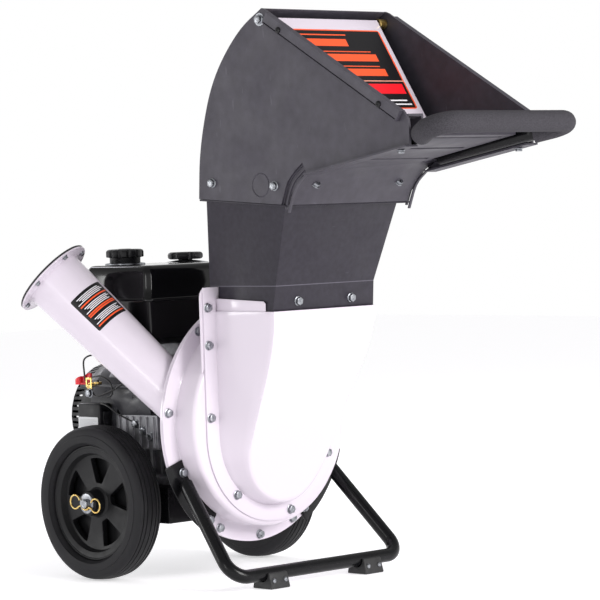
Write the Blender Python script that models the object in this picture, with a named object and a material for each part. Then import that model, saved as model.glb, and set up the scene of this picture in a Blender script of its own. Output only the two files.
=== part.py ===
# Petrol garden shredder: a round knife chamber on the end of an engine shaft, fed from above through a
# leaf hopper and from the side through a branch chute. Metres, +Z up, front (tray and handle) towards -Y.
# The layout is drawn about the shaft: x = 0 on the shaft, y = 0 on the front of the chamber's bolt flange.

from math import asin, cos, pi, radians, sin, sqrt

import bmesh
import bpy
from mathutils import Matrix, Vector

# Clearances
GAP = 0.0003
RUNNING_GAP = 0.001

# Wheels and axle
WHEEL_RADIUS = 0.130
TYRE_WIDTH = 0.056
TYRE_SECTION = 0.033
WHEEL_TRACK = 0.368
AXLE_Y = 0.186
AXLE_RADIUS = 0.008
HUB_BOSS_RADIUS = 0.021
HUB_REACH = 0.029
HUB_DISC = 0.010
RIM_WALL = 0.016
SPOKES = 5
SPOKE_WINDOW = radians(35)
SPOKE_TURN = radians(7.7)
WASHER_RADIUS = 0.016
WASHER_THICKNESS = 0.002
AXLE_END = 0.006
CLIP_WIRE = 0.0014
CLIP_LOOP = 0.0115
CLIP_TILT = radians(-5)

# Frame base under the engine
BASE_HALF_WIDTH = 0.130
BASE_FRONT = 0.075
BASE_REAR = 0.205
BASE_BOTTOM = 0.0925
BASE_TOP = 0.1550
BASE_SHEET = 0.003

# Stand
STAND_TUBE = 0.0125
STAND_SEAT_OUT = 0.0173
STAND_SEAT_ANGLE = radians(28.9)
STAND_HALF_FOOT = 0.195
STAND_Y = -0.145
STAND_BAR_Z = 0.0235
STAND_BEND = 0.040
FOOT_SPACING = 0.222
FOOT_SIZE = 0.045
FOOT_HEIGHT = 0.024

# Chamber
SHAFT_Z = 0.262
CHAMBER_RADIUS = 0.177
FLANGE_WIDTH = 0.028
CHAMBER_DEPTH = 0.044
CHAMBER_ROUND = 0.008
SHEET = 0.003
BACK_PLATE = 0.005
BRACKET_SHEET = 0.003
BRACKET_REACH = 0.011
BRACKET_START = radians(198)
BRACKET_END = radians(238)

# Feed duct
DUCT_HALF = 0.121
DUCT_FLANGE = 0.0295
DUCT_CENTRE_Z = 0.244
DUCT_TOP = 0.449
DUCT_SHEET = 0.0025
DUCT_DEPTH_TOP = 0.133
DUCT_DEPTH_LOW = 0.027
DUCT_FRONT_HALF_TOP = 0.120
DUCT_FRONT_HALF_LOW = 0.098
DUCT_FRONT_DROP = 0.116
DUCT_SWEEP_TOP = 0.460
DUCT_SWEEP_LOW = 0.140
DUCT_HOLE = 0.115
PLATE_HALF = 0.155
PLATE_TOP = 0.489
PLATE_CORNER = 0.015

# Discharge on the right
SPOUT_LOW = 0.312
SPOUT_HIGH = 0.393
SPOUT_STAND_OFF = 0.013
SPOUT_SHEET = 0.002
SPOUT_FRONT = 0.040
SPOUT_REAR = 0.004
DEFLECTOR_DROP = 0.060
DEFLECTOR_LEAN = radians(12)
HINGE_PIN = 0.0018

# Branch chute
CHUTE_ROOT_RADIUS = 0.042
CHUTE_MOUTH_RADIUS = 0.0515
CHUTE_WALL = 0.002
CHUTE_X = -0.142
CHUTE_Z = 0.2894
CHUTE_LENGTH = 0.317
CHUTE_DIRECTION = Vector((-0.325, 0.646, 0.692)).normalized()
CHUTE_RIM = 0.0713
CHUTE_RIM_SHEET = 0.0025
CURTAIN_HOLE = 0.030
CURTAIN_THICKNESS = 0.003

# Neck
NECK_HALF_TOP = 0.131
NECK_HALF_LOW = 0.118
NECK_FOLD_HALF = 0.115
NECK_REAR_TOP = -0.0415
NECK_REAR_LOW = -0.026
NECK_REAR_LIP = 0.0013
NECK_FOLD_Z = 0.490
NECK_FRONT_TOP = -0.223
NECK_FRONT_LOW = -0.1745
NECK_FOLD_FRONT = -0.1800
NECK_FLANGE_HALF = 0.1455
NECK_FLANGE_FRONT = -0.2385
NECK_WALL = 0.003
TAB_CLEARANCE = 0.002

# Hopper
WALL_OUTER = 0.146
WALL_THICKNESS = 0.0045
LIP_WIDTH = 0.020
LIP_THICKNESS = 0.008
LEDGE = 0.010
LEDGE_SHEET = 0.003
ROD_RADIUS = 0.004
TRAY_SHEET = 0.004
TRAY_HALF = 0.108
TRAY_STEP = 0.030
BAFFLE_SHEET = 0.0015
BAFFLE_HALF = 0.122
BAFFLE_LOW = (-0.308, 0.737)

# Handle
HANDLE_TUBE = 0.0125
HANDLE_LEG_X = 0.1285
HANDLE_BAR_HALF = 0.173
HANDLE_REACH = 0.077
HANDLE_BAR_Z = 0.739
HANDLE_BEND = 0.028
HANDLE_LEG_BEND = 0.025
HANDLE_SEAT = 0.040
HANDLE_BEND_AHEAD = 0.010
GRIP_RADIUS = 0.017
GRIP_CLEARANCE = 0.012

# Rotor
SHAFT_RADIUS = 0.0125
IMPELLER_TIP_GAP = 0.011
IMPELLER_DISC = 0.008
IMPELLER_HUB = 0.030
PADDLE_DEPTH = 0.020
PADDLE_SHEET = 0.006
PADDLES = 4
KNIFE_LENGTH = 0.085
KNIFE_WIDTH = 0.040
KNIFE_THICKNESS = 0.0045

# Engine
ENGINE_BODY_FRONT = 0.056
ENGINE_BODY_REAR = 0.205
ENGINE_HALF = 0.088
ENGINE_FOOT_HALF = 0.105
ENGINE_FOOT_THICKNESS = 0.012
ENGINE_TOP = 0.372
PTO_RADIUS = 0.045
CYLINDER_LEAN = radians(25)
CYLINDER_Y = 0.118
CYLINDER_HALF = 0.058
CYLINDER_START = 0.080
CYLINDER_END = 0.190
FIN_COUNT = 7
FIN_THICKNESS = 0.0035
VALVE_COVER_HEIGHT = 0.030
SHROUD_RADIUS = 0.121
SHROUD_FRONT = 0.208
SHROUD_REAR = 0.282
SHROUD_SHEET = 0.003
RECOIL_BASE = 0.112
RECOIL_RADIUS = 0.0905
RECOIL_REAR = 0.367
FLYWHEEL_RADIUS = 0.090
FLYWHEEL_FRONT = 0.228
FLYWHEEL_THICKNESS = 0.028
PULLEY_RADIUS = 0.034
PULLEY_THICKNESS = 0.014
TANK_LEFT = -0.150
TANK_RIGHT = 0.045
TANK_FRONT = 0.087
TANK_REAR = 0.262
TANK_BOTTOM = 0.392
TANK_SEAM_SHARE = 0.567
TANK_TOP = 0.526
TANK_WALL = 0.0015
CAP_X = -0.085
CAP_Y = 0.213
CAP_RADIUS = 0.032
CAP_HEIGHT = 0.026
CLEANER_X = 0.100
CLEANER_Y = 0.260
CLEANER_HALF_X = 0.048
CLEANER_HALF_Y = 0.050
CLEANER_BOTTOM = 0.452
CLEANER_SPLIT = 0.490
CLEANER_TOP = 0.522
KNOB_RADIUS = 0.031
KNOB_LIFT = 0.006
KNOB_HEIGHT = 0.017
KNOB_HOLLOWS = 6
KNOB_TURN = radians(8)
MUFFLER_LOW = Vector((0.062, 0.062, 0.404))
MUFFLER_HIGH = Vector((0.172, 0.168, 0.490))
SWITCH_DEPTH = 0.028
SWITCH_LENGTH = 0.056
SWITCH_HEIGHT = 0.049
SWITCH_Y = 0.247
SWITCH_Z = 0.2675

THROTTLE = Vector((-0.136, 0.236, 0.324))
THROTTLE_LENGTH = 0.034
THROTTLE_TIP = 0.018
THROTTLE_REST = radians(-62)
BRACKET_Z = 0.324
LEVER_PIN = 0.0022
GOVERNOR = Vector((0.0, 0.190, 0.255))
OIL_PLUG = Vector((0.0, 0.075, 0.205))
FILLER_RADIUS = 0.022
GUARD_STAND_OFF = 0.007
GUARD_SHEET = 0.0012
CARB_LEVER = 0.034

# Shares of each colour are linear values
WHITE = (0.86, 0.84, 0.88)
BLACK_PLASTIC = (0.045, 0.042, 0.050)
BLACK_GLOSS = (0.012, 0.012, 0.014)
ZINC = (0.70, 0.71, 0.73)
YELLOW_ZINC = (0.72, 0.60, 0.28)
ALUMINIUM = (0.45, 0.45, 0.47)
RUBBER = (0.020, 0.020, 0.021)
STEEL = (0.40, 0.40, 0.41)
RED = (0.70, 0.03, 0.03)

# Places worked out from the driving values
FLANGE_BACK = SHEET
PLATE_FRONT = FLANGE_BACK + GAP
PLATE_BACK = PLATE_FRONT + BACK_PLATE
ENGINE_FACE = PLATE_BACK + GAP
FACE_Y = -CHAMBER_DEPTH
DUCT_FLANGE_Y = FACE_Y - GAP
NECK_STEP = DUCT_FLANGE_Y - DUCT_SHEET - GAP
FLANGE_RADIUS = CHAMBER_RADIUS + FLANGE_WIDTH
SPOUT_REACH = CHAMBER_RADIUS + SPOUT_STAND_OFF
IMPELLER_RADIUS = CHAMBER_RADIUS - SHEET - IMPELLER_TIP_GAP
STAND_HALF_TOP = (CHAMBER_RADIUS + STAND_SEAT_OUT) * cos(STAND_SEAT_ANGLE)
STAND_TOP_DROP = (CHAMBER_RADIUS + STAND_SEAT_OUT) * sin(STAND_SEAT_ANGLE)
TANK_SEAM = TANK_BOTTOM + (TANK_TOP - TANK_BOTTOM) * TANK_SEAM_SHARE
AXLE_Z = WHEEL_RADIUS
DISC_REAR = PLATE_FRONT - 0.008
SHAFT_FRONT = -0.036
SHAFT_REAR = 0.286
PULLEY_REAR = RECOIL_REAR - 0.009
GRIP_START = RECOIL_RADIUS + 0.0005


def clear_scene():
    for obj in list(bpy.data.objects):
        bpy.data.objects.remove(obj, do_unlink=True)


def material(name, colour, roughness, metallic=0.0):
    mat = bpy.data.materials.new(name)
    mat.use_nodes = True
    shader = mat.node_tree.nodes["Principled BSDF"]
    shader.inputs["Base Color"].default_value = (*colour, 1.0)
    shader.inputs["Roughness"].default_value = roughness
    shader.inputs["Metallic"].default_value = metallic
    mat.diffuse_color = (*colour, 1.0)
    return mat


def empty(name, location, parent=None):
    obj = bpy.data.objects.new(name, None)
    obj.location = location
    obj.parent = parent
    bpy.context.collection.objects.link(obj)
    return obj


def node(name, bm, finish, centre=(0, 0, 0), parent=None):
    """Make one named piece from a mesh drawn about centre."""
    bmesh.ops.remove_doubles(bm, verts=bm.verts, dist=0.000001)
    bmesh.ops.recalc_face_normals(bm, faces=bm.faces)
    mesh = bpy.data.meshes.new(name)
    bm.to_mesh(mesh)
    bm.free()
    mesh.shade_smooth()
    mesh.set_sharp_from_angle(angle=radians(32))
    obj = bpy.data.objects.new(name, mesh)
    obj.location = centre
    obj.parent = parent or ROOT
    if finish is not None:
        mesh.materials.append(finish)
    bpy.context.collection.objects.link(obj)
    return obj


def boolean(obj, bm, operation, centre=(0, 0, 0)):
    """Cut or join another closed mesh, drawn about centre beside obj."""
    tool = node(obj.name + "_tool", bm, None, centre, obj.parent)
    tool.hide_render = True
    tool.display_type = "WIRE"
    change = obj.modifiers.new(operation.lower(), "BOOLEAN")
    change.operation = operation
    change.solver = "EXACT"
    change.object = tool
    return obj


def round_edges(obj, width, segments=2):
    bevel = obj.modifiers.new("rounding", "BEVEL")
    bevel.width = width
    bevel.segments = segments
    bevel.limit_method = "ANGLE"
    bevel.angle_limit = radians(40)
    return obj


def loft(loops, closed=False):
    """Skin rings of points. Closed joins the last ring to the first; otherwise the ends are capped."""
    bm = bmesh.new()
    rings = [[bm.verts.new(point) for point in loop] for loop in loops]
    pairs = list(zip(rings, rings[1:]))
    if closed:
        pairs.append((rings[-1], rings[0]))
    for near, far in pairs:
        count = len(near)
        for i in range(count):
            j = (i + 1) % count
            bm.faces.new((near[i], near[j], far[j], far[i]))
    if not closed:
        bm.faces.new(rings[0])
        bm.faces.new(rings[-1])
    return bm


def lathe(profile, direction="Y", segments=48, closed=False):
    """Turn (along, radius) points about an axis. A radius of 0 closes an end."""
    turned = []
    for along, radius in profile:
        loop = []
        for i in range(segments):
            angle = 2 * pi * i / segments
            a, b = radius * cos(angle), radius * sin(angle)
            loop.append({"X": (along, a, b), "Y": (a, along, b), "Z": (a, b, along)}[direction])
        turned.append(loop)
    bm = loft(turned, closed=closed)
    bmesh.ops.remove_doubles(bm, verts=bm.verts, dist=0.0000005)
    flat = [face for face in bm.faces if face.calc_area() < 1e-13]
    bmesh.ops.delete(bm, geom=flat, context="FACES")
    return bm


def ring(inner, outer, start, end, direction="Y", segments=48):
    profile = [(start, outer), (end, outer), (end, inner), (start, inner)]
    return lathe(profile, direction, segments, closed=True)


def rod(radius, start, end, direction="Y", segments=24):
    return lathe([(start, radius), (end, radius)], direction, segments)


def block(low, high):
    bm = bmesh.new()
    low, high = Vector(low), Vector(high)
    middle = (low + high) / 2
    place = Matrix.Translation(middle) @ Matrix.Diagonal((*(high - low), 1.0))
    bmesh.ops.create_cube(bm, size=1.0, matrix=place)
    return bm


def slab_x(outline, start, end):
    """Push a (y, z) outline from x = start to x = end."""
    return loft([[(start, y, z) for y, z in outline], [(end, y, z) for y, z in outline]])


def slab_y(outline, start, end):
    """Push an (x, z) outline from y = start to y = end."""
    return loft([[(x, start, z) for x, z in outline], [(x, end, z) for x, z in outline]])


def strip(points, thickness):
    """Outline of a sheet that follows (y, z) points, with its thickness on the left of their direction."""
    offset = []
    for i, point in enumerate(points):
        here = Vector(point)
        before = Vector(points[max(i - 1, 0)])
        after = Vector(points[min(i + 1, len(points) - 1)])
        along_in = (here - before).normalized() if i else (after - here).normalized()
        along_out = (after - here).normalized() if i < len(points) - 1 else along_in
        mid = (along_in + along_out).normalized()
        normal = Vector((-mid.y, mid.x))
        spread = max(0.5, mid.dot(along_out))
        offset.append(tuple(here + normal * thickness / spread))
    return list(points) + offset[::-1]


def rounded_path(points, radius, steps=6):
    """Replace each inner corner of a path by an arc."""
    points = [Vector(point) for point in points]
    radii = radius if isinstance(radius, (list, tuple)) else [radius] * (len(points) - 2)
    path = [points[0]]
    for before, corner, after, r in zip(points, points[1:], points[2:], radii):
        a = (before - corner).normalized()
        b = (after - corner).normalized()
        half = a.angle(b) / 2
        reach = r / abs(sin(half) / cos(half))
        start, end = corner + a * reach, corner + b * reach
        centre = corner + (a + b).normalized() * (r / sin(half))
        for i in range(steps + 1):
            share = i / steps
            turn = (start - centre).normalized().slerp((end - centre).normalized(), share)
            path.append(centre + turn * r)
    path.append(points[-1])
    return path


def sweep_rings(path, radius, sides):
    """Rings of points round a path, without twist."""
    rings = []
    tangent = (path[1] - path[0]).normalized()
    side = tangent.orthogonal().normalized()
    for i, point in enumerate(path):
        before = path[max(i - 1, 0)]
        after = path[min(i + 1, len(path) - 1)]
        along = (after - before).normalized()
        side = (side - along * side.dot(along)).normalized()
        up = along.cross(side)
        loop = []
        for k in range(sides):
            angle = 2 * pi * k / sides
            loop.append(point + (side * cos(angle) + up * sin(angle)) * radius)
        rings.append(loop)
    return rings


def bar(path, radius, sides=12):
    return loft(sweep_rings(path, radius, sides))


def sleeve(path, first, last, inner, outer, sides=12):
    """Tube round part of a path, from its point number first up to last."""
    outside = sweep_rings(path, outer, sides)[first:last]
    inside = sweep_rings(path, inner, sides)[first:last]
    return loft(outside + inside[::-1], closed=True)


def arc(centre, radius, start, end, steps):
    cx, cy = centre
    points = []
    for i in range(steps + 1):
        angle = start + (end - start) * i / steps
        points.append((cx + radius * cos(angle), cy + radius * sin(angle)))
    return points


# Wheels: a solid rubber tyre pressed on a moulded hub that turns on the fixed axle
def tyre(side, spin):
    half = TYRE_WIDTH / 2
    inner = WHEEL_RADIUS - TYRE_SECTION
    outer = WHEEL_RADIUS
    profile = [
        (-half * 0.62, inner), (-half, inner + 0.012), (-half * 0.93, outer - 0.008),
        (-half * 0.66, outer - 0.0018), (0.0, outer), (half * 0.66, outer - 0.0018),
        (half * 0.93, outer - 0.008), (half, inner + 0.012), (half * 0.62, inner),
    ]
    return node("tyre_" + side, lathe(profile, "X", 48, closed=True), TYRE, parent=spin)


def wheel_hub(side, sign, spin):
    rim_outer = WHEEL_RADIUS - TYRE_SECTION - GAP
    rim_inner = rim_outer - RIM_WALL
    half = TYRE_WIDTH / 2 * 0.60
    bore = AXLE_RADIUS + GAP
    disc = HUB_DISC / 2
    out = HUB_REACH
    profile = [
        (-half, rim_outer), (half, rim_outer), (half, rim_inner), (disc, rim_inner - 0.004),
        (disc, HUB_BOSS_RADIUS + 0.004), (out, HUB_BOSS_RADIUS), (out, bore), (-half, bore),
        (-half, HUB_BOSS_RADIUS), (-disc, HUB_BOSS_RADIUS + 0.004), (-disc, rim_inner - 0.004),
        (-half, rim_inner),
    ]
    profile = [(along * sign, radius) for along, radius in profile]
    hub = node("wheel_hub_" + side, lathe(profile, "X", 32, closed=True), HUB_PLASTIC, parent=spin)
    near = HUB_BOSS_RADIUS + 0.010
    far = rim_inner - 0.006
    for k in range(SPOKES):
        middle = SPOKE_TURN + 2 * pi * k / SPOKES
        inner_half = SPOKE_WINDOW * 0.38
        outline = []
        for radius, half_angle, steps in ((far, SPOKE_WINDOW / 2, 4), (near, inner_half, 2)):
            span = arc((0, 0), radius, middle - half_angle, middle + half_angle, steps)
            outline += span if radius == far else span[::-1]
        turned = [(-a, b) for b, a in outline]
        boolean(hub, slab_x(turned, -disc * 3, disc * 3), "DIFFERENCE")
    return hub


def clip_path():
    """Bow-tie clip: a loop, half a turn under the axle end, and the other loop."""
    reach = AXLE_RADIUS + CLIP_WIRE * 1.6
    far = 0.0255
    left = arc((-far, 0.0), CLIP_LOOP, radians(20), radians(325), 12)
    under = arc((0.0, 0.0), reach, radians(205), radians(335), 6)
    right = arc((far, 0.0), CLIP_LOOP, radians(215), radians(520), 12)
    points = []
    for a, b in left + under + right:
        turned = (a * cos(CLIP_TILT) - b * sin(CLIP_TILT), a * sin(CLIP_TILT) + b * cos(CLIP_TILT))
        points.append(Vector((0.0, -turned[0], turned[1])))
    return points


def running_gear():
    washer_start = WHEEL_TRACK / 2 + HUB_REACH + GAP
    washer_end = washer_start + WASHER_THICKNESS
    for side, sign in (("left", -1), ("right", 1)):
        centre = (sign * WHEEL_TRACK / 2, AXLE_Y, AXLE_Z)
        spin = empty("wheel_spin_" + side, centre, ROOT)
        tyre(side, spin)
        wheel_hub(side, sign, spin)
        outside = sign * (washer_end + CLIP_WIRE + GAP)
        node("axle_clip_" + side, bar(clip_path(), CLIP_WIRE, 6), CLIP_PLATING, (outside, AXLE_Y, AXLE_Z))
    reach = washer_end + AXLE_END
    tip = AXLE_RADIUS * 0.8
    half = [
        (washer_start, AXLE_RADIUS), (washer_start, WASHER_RADIUS), (washer_end, WASHER_RADIUS),
        (washer_end, AXLE_RADIUS), (reach, AXLE_RADIUS), (reach + 0.0015, tip),
    ]
    whole = [(-along, radius) for along, radius in half[::-1]] + half
    node("axle", lathe(whole, "X", 20), PLATING, (0, AXLE_Y, AXLE_Z))


def frame_base():
    low = (-BASE_HALF_WIDTH, BASE_FRONT, BASE_BOTTOM)
    high = (BASE_HALF_WIDTH, BASE_REAR, BASE_TOP)
    base = node("frame_base", block(low, high), BLACK_PAINT)
    round_edges(base, 0.004)
    s = BASE_SHEET
    hollow = block((low[0] + s, low[1] + s, low[2] - 0.01), (high[0] - s, high[1] - s, high[2] - s))
    boolean(base, hollow, "DIFFERENCE")
    bore = rod(AXLE_RADIUS + GAP, -BASE_HALF_WIDTH - 0.02, BASE_HALF_WIDTH + 0.02, "X", 20)
    boolean(base, bore, "DIFFERENCE", (0, AXLE_Y, AXLE_Z))


def stand():
    top_z = SHAFT_Z - STAND_TOP_DROP
    leg = Vector((STAND_HALF_FOOT - STAND_HALF_TOP, -STAND_Y, top_z - STAND_BAR_Z))
    leg_y = -BRACKET_SHEET - 2 * GAP - STAND_TUBE * sqrt(1 - (leg.y / leg.length) ** 2)
    corners = [
        (-STAND_HALF_TOP, leg_y, top_z), (-STAND_HALF_FOOT, STAND_Y, STAND_BAR_Z),
        (STAND_HALF_FOOT, STAND_Y, STAND_BAR_Z), (STAND_HALF_TOP, leg_y, top_z),
    ]
    node("stand_tube", bar(rounded_path(corners, STAND_BEND), STAND_TUBE), BLACK_PAINT)
    inner, outer = CHAMBER_RADIUS + GAP, FLANGE_RADIUS + BRACKET_REACH
    front = -GAP - BRACKET_SHEET
    for side, sign in (("left", 1), ("right", -1)):
        outline = arc((0, SHAFT_Z), outer, BRACKET_START, BRACKET_END, 8)
        outline += arc((0, SHAFT_Z), inner, BRACKET_END, BRACKET_START, 8)
        outline = [(x * sign, z) for x, z in outline]
        node("stand_bracket_" + side, slab_y(outline, -GAP, front), BLACK_PAINT)
        foot = block((-FOOT_SIZE / 2, -FOOT_SIZE / 2, 0.0), (FOOT_SIZE / 2, FOOT_SIZE / 2, FOOT_HEIGHT))
        place = (-sign * FOOT_SPACING / 2, STAND_Y, 0.0)
        rubber = round_edges(node("stand_foot_" + side, foot, RUBBER_BLACK, place), 0.003)
        groove = rod(STAND_TUBE + GAP, -FOOT_SIZE, FOOT_SIZE, "X", 24)
        boolean(rubber, groove, "DIFFERENCE", (place[0], STAND_Y, STAND_BAR_Z))


def chamber():
    edge = []
    for i in range(4):
        angle = pi / 2 * i / 3
        along = FACE_Y + CHAMBER_ROUND * (1 - cos(angle))
        edge.append((along, CHAMBER_RADIUS - CHAMBER_ROUND * (1 - sin(angle))))
    outside = [(FLANGE_BACK, FLANGE_RADIUS), (0.0, FLANGE_RADIUS), (0.0, CHAMBER_RADIUS)] + edge[::-1]
    inner_radius = CHAMBER_RADIUS - SHEET
    inside_face = FACE_Y + SHEET
    profile = outside + [
        (FACE_Y, DUCT_HOLE * 0.5), (inside_face, DUCT_HOLE * 0.5),
        (inside_face, inner_radius - CHAMBER_ROUND * 0.5), (inside_face + CHAMBER_ROUND * 0.5, inner_radius),
        (FLANGE_BACK, inner_radius),
    ]
    shell = node("housing_shell", lathe(profile, "Y", 56, closed=True), WHITE_COAT, (0, 0, SHAFT_Z))
    hole = rod(DUCT_HOLE, FACE_Y - 0.02, FACE_Y + 0.02, "Y", 48)
    boolean(shell, hole, "DIFFERENCE", (0, 0, DUCT_CENTRE_Z))
    outlet = block((CHAMBER_RADIUS * 0.55, -SPOUT_FRONT + SPOUT_SHEET, SPOUT_LOW + SPOUT_SHEET),
                   (CHAMBER_RADIUS + 0.01, -SPOUT_REAR - SPOUT_SHEET, SPOUT_HIGH - SPOUT_SHEET))
    boolean(shell, outlet, "DIFFERENCE")


def chute_point(along):
    start = Vector((CHUTE_X, ENGINE_FACE, CHUTE_Z))
    return start + CHUTE_DIRECTION * along


def chute_ring(radius, along=None, plane_y=None, segments=36):
    """Ring round the chute's axis, square across it or cut off by a plane of constant y."""
    side = CHUTE_DIRECTION.cross(Vector((0, 1, 0))).normalized()
    up = CHUTE_DIRECTION.cross(side)
    centre = chute_point(along or 0.0)
    loop = []
    for k in range(segments):
        angle = 2 * pi * k / segments
        point = centre + (side * cos(angle) + up * sin(angle)) * radius
        if plane_y is not None:
            point += CHUTE_DIRECTION * (plane_y - point.y) / CHUTE_DIRECTION.y
        loop.append(point)
    return loop


def back_plate():
    plate = node("back_plate", ring(SHAFT_RADIUS + 0.012, FLANGE_RADIUS, PLATE_FRONT, PLATE_BACK, "Y", 56),
                 WHITE_COAT, (0, 0, SHAFT_Z))
    inner = CHUTE_ROOT_RADIUS - CHUTE_WALL
    near, far = PLATE_FRONT - 0.01, PLATE_BACK + 0.01
    cutter = loft([chute_ring(inner, plane_y=near), chute_ring(inner, plane_y=far)])
    boolean(plate, cutter, "DIFFERENCE")


def branch_chute():
    """Widening tube with its welded mouth flange, and the slit rubber curtain held on the flange."""
    root, mouth = CHUTE_ROOT_RADIUS, CHUTE_MOUTH_RADIUS
    far = CHUTE_LENGTH + CHUTE_RIM_SHEET
    tube = loft([
        chute_ring(root, plane_y=ENGINE_FACE), chute_ring(mouth, along=CHUTE_LENGTH),
        chute_ring(CHUTE_RIM, along=CHUTE_LENGTH), chute_ring(CHUTE_RIM, along=far),
        chute_ring(mouth - CHUTE_WALL, along=far), chute_ring(root - CHUTE_WALL, plane_y=ENGINE_FACE),
    ], closed=True)
    node("chipper_chute", tube, WHITE_COAT)
    near = far + GAP
    curtain = loft([
        chute_ring(CHUTE_RIM, along=near), chute_ring(CHUTE_RIM, along=near + CURTAIN_THICKNESS),
        chute_ring(CURTAIN_HOLE, along=near + CURTAIN_THICKNESS), chute_ring(CURTAIN_HOLE, along=near),
    ], closed=True)
    node("chute_curtain", curtain, RUBBER_BLACK)


def duct_depth(z):
    """How far the duct's front stands from its flange at height z."""
    share = min(1.0, max(0.0, (z - DUCT_SWEEP_LOW) / (DUCT_SWEEP_TOP - DUCT_SWEEP_LOW)))
    smooth = share * share * (3 - 2 * share)
    return DUCT_DEPTH_LOW + (DUCT_DEPTH_TOP - DUCT_DEPTH_LOW) * smooth


def feed_duct():
    """Scoop: straight sides above, half round below, with a bolt flange along its open back."""
    levels = [DUCT_TOP + (DUCT_CENTRE_Z - DUCT_TOP) * i / 7 for i in range(8)]
    turns = [pi / 2 * i / 8 for i in range(1, 9)]
    outer, root, front = [], [], []
    for z in levels:
        share = (z - DUCT_CENTRE_Z) / (DUCT_TOP - DUCT_CENTRE_Z)
        half = DUCT_FRONT_HALF_LOW + (DUCT_FRONT_HALF_TOP - DUCT_FRONT_HALF_LOW) * share
        outer.append((-DUCT_HALF - DUCT_FLANGE, DUCT_FLANGE_Y, z))
        root.append((-DUCT_HALF, DUCT_FLANGE_Y, z))
        front.append((-half, DUCT_FLANGE_Y - duct_depth(z), z))
    for turn in turns:
        a, b = cos(turn), sin(turn)
        reach = DUCT_HALF + DUCT_FLANGE
        outer.append((-reach * a, DUCT_FLANGE_Y, DUCT_CENTRE_Z - reach * b))
        root.append((-DUCT_HALF * a, DUCT_FLANGE_Y, DUCT_CENTRE_Z - DUCT_HALF * b))
        low = DUCT_CENTRE_Z - DUCT_FRONT_DROP * b
        front.append((-DUCT_FRONT_HALF_LOW * a, DUCT_FLANGE_Y - duct_depth(low), low))
    bm = bmesh.new()
    rows = []
    for line in (outer, root, front):
        mirrored = [(-x, y, z) for x, y, z in line[:-1]][::-1]
        rows.append([bm.verts.new(point) for point in line + mirrored])
    for near, far in zip(rows, rows[1:]):
        for i in range(len(near) - 1):
            bm.faces.new((near[i], near[i + 1], far[i + 1], far[i]))
    for end, sign in ((0, -1), (-1, 1)):
        corner = rows[0][end], rows[1][end]
        reach = DUCT_HALF + DUCT_FLANGE
        tall = bm.verts.new((sign * reach, DUCT_FLANGE_Y, PLATE_TOP))
        inner = bm.verts.new((sign * (NECK_HALF_LOW + 2 * TAB_CLEARANCE), DUCT_FLANGE_Y, PLATE_TOP))
        bm.faces.new((corner[0], corner[1], inner, tall))
    edge = rows[2]
    last = len(edge) - 1
    middle = last // 2
    for i in range(middle - 1):
        bm.faces.new((edge[i], edge[i + 1], edge[last - i - 1], edge[last - i]))
    bm.faces.new((edge[middle - 1], edge[middle], edge[middle + 1]))
    bmesh.ops.recalc_face_normals(bm, faces=bm.faces)
    scoop_front = max(bm.faces, key=lambda face: -face.calc_center_median().y)
    if scoop_front.normal.y > 0:
        bmesh.ops.reverse_faces(bm, faces=bm.faces)
    mesh = bpy.data.meshes.new("feed_duct")
    bm.to_mesh(mesh)
    bm.free()
    mesh.shade_smooth()
    mesh.set_sharp_from_angle(angle=radians(32))
    duct = bpy.data.objects.new("feed_duct", mesh)
    duct.parent = ROOT
    mesh.materials.append(WHITE_COAT)
    bpy.context.collection.objects.link(duct)
    wall = duct.modifiers.new("wall", "SOLIDIFY")
    wall.thickness = DUCT_SHEET
    wall.offset = 1.0
    wall.use_even_offset = True


def duct_back():
    lean = CHAMBER_RADIUS + GAP
    start = asin(sqrt(lean * lean - PLATE_HALF * PLATE_HALF) / lean)
    outline = arc((0, SHAFT_Z), lean, start, pi - start, 20)
    corner = PLATE_CORNER
    outline += arc((-PLATE_HALF + corner, PLATE_TOP - corner), corner, pi, pi / 2, 4)
    outline += arc((PLATE_HALF - corner, PLATE_TOP - corner), corner, pi / 2, 0.0, 4)
    node("duct_back_plate", slab_y(outline, FACE_Y, FACE_Y + SHEET), WHITE_COAT)


def discharge():
    """Spout that leaves the chamber's round wall on the right, with a deflector hinged over its mouth."""
    front, rear = -SPOUT_FRONT, -SPOUT_REAR
    half = (rear - front) / 2
    s = SPOUT_SHEET
    pivot = (SPOUT_REACH + 0.004, (front + rear) / 2, SPOUT_HIGH + 0.002)
    outside = block((CHAMBER_RADIUS * 0.5, front, SPOUT_LOW), (SPOUT_REACH, rear, SPOUT_HIGH))
    spout = node("discharge_spout", outside, WHITE_COAT)
    for y in (-half, half - s):
        ear = block((-0.010, y, -0.0100), (0.004, y + s, 0.005))
        bmesh.ops.translate(ear, verts=ear.verts, vec=pivot)
        boolean(spout, ear, "UNION")
    passage = block((0.0, front + s, SPOUT_LOW + s), (SPOUT_REACH + 0.05, rear - s, SPOUT_HIGH - s))
    boolean(spout, passage, "DIFFERENCE")
    boolean(spout, rod(CHAMBER_RADIUS + GAP, -0.2, 0.2, "Y", 72), "DIFFERENCE", (0, 0, SHAFT_Z))
    boolean(spout, rod(HINGE_PIN + RUNNING_GAP / 2, -half - 0.01, half + 0.01, "Y", 12), "DIFFERENCE", pivot)
    hinge = empty("deflector_hinge", pivot, ROOT)
    reach = half - s - RUNNING_GAP
    drop = Vector((sin(DEFLECTOR_LEAN), -cos(DEFLECTOR_LEAN))) * DEFLECTOR_DROP
    plate = [(0.0, 0.0), (drop.x, drop.y), (drop.x + s, drop.y), (s, 0.0)]
    flap = node("discharge_deflector", slab_y(plate, -reach, reach), WHITE_COAT, parent=hinge)
    boolean(flap, rod(HINGE_PIN * 2, -reach, reach, "Y", 16), "UNION")
    boolean(flap, rod(HINGE_PIN, -half - 0.001, half + 0.001, "Y", 12), "UNION")


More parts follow.
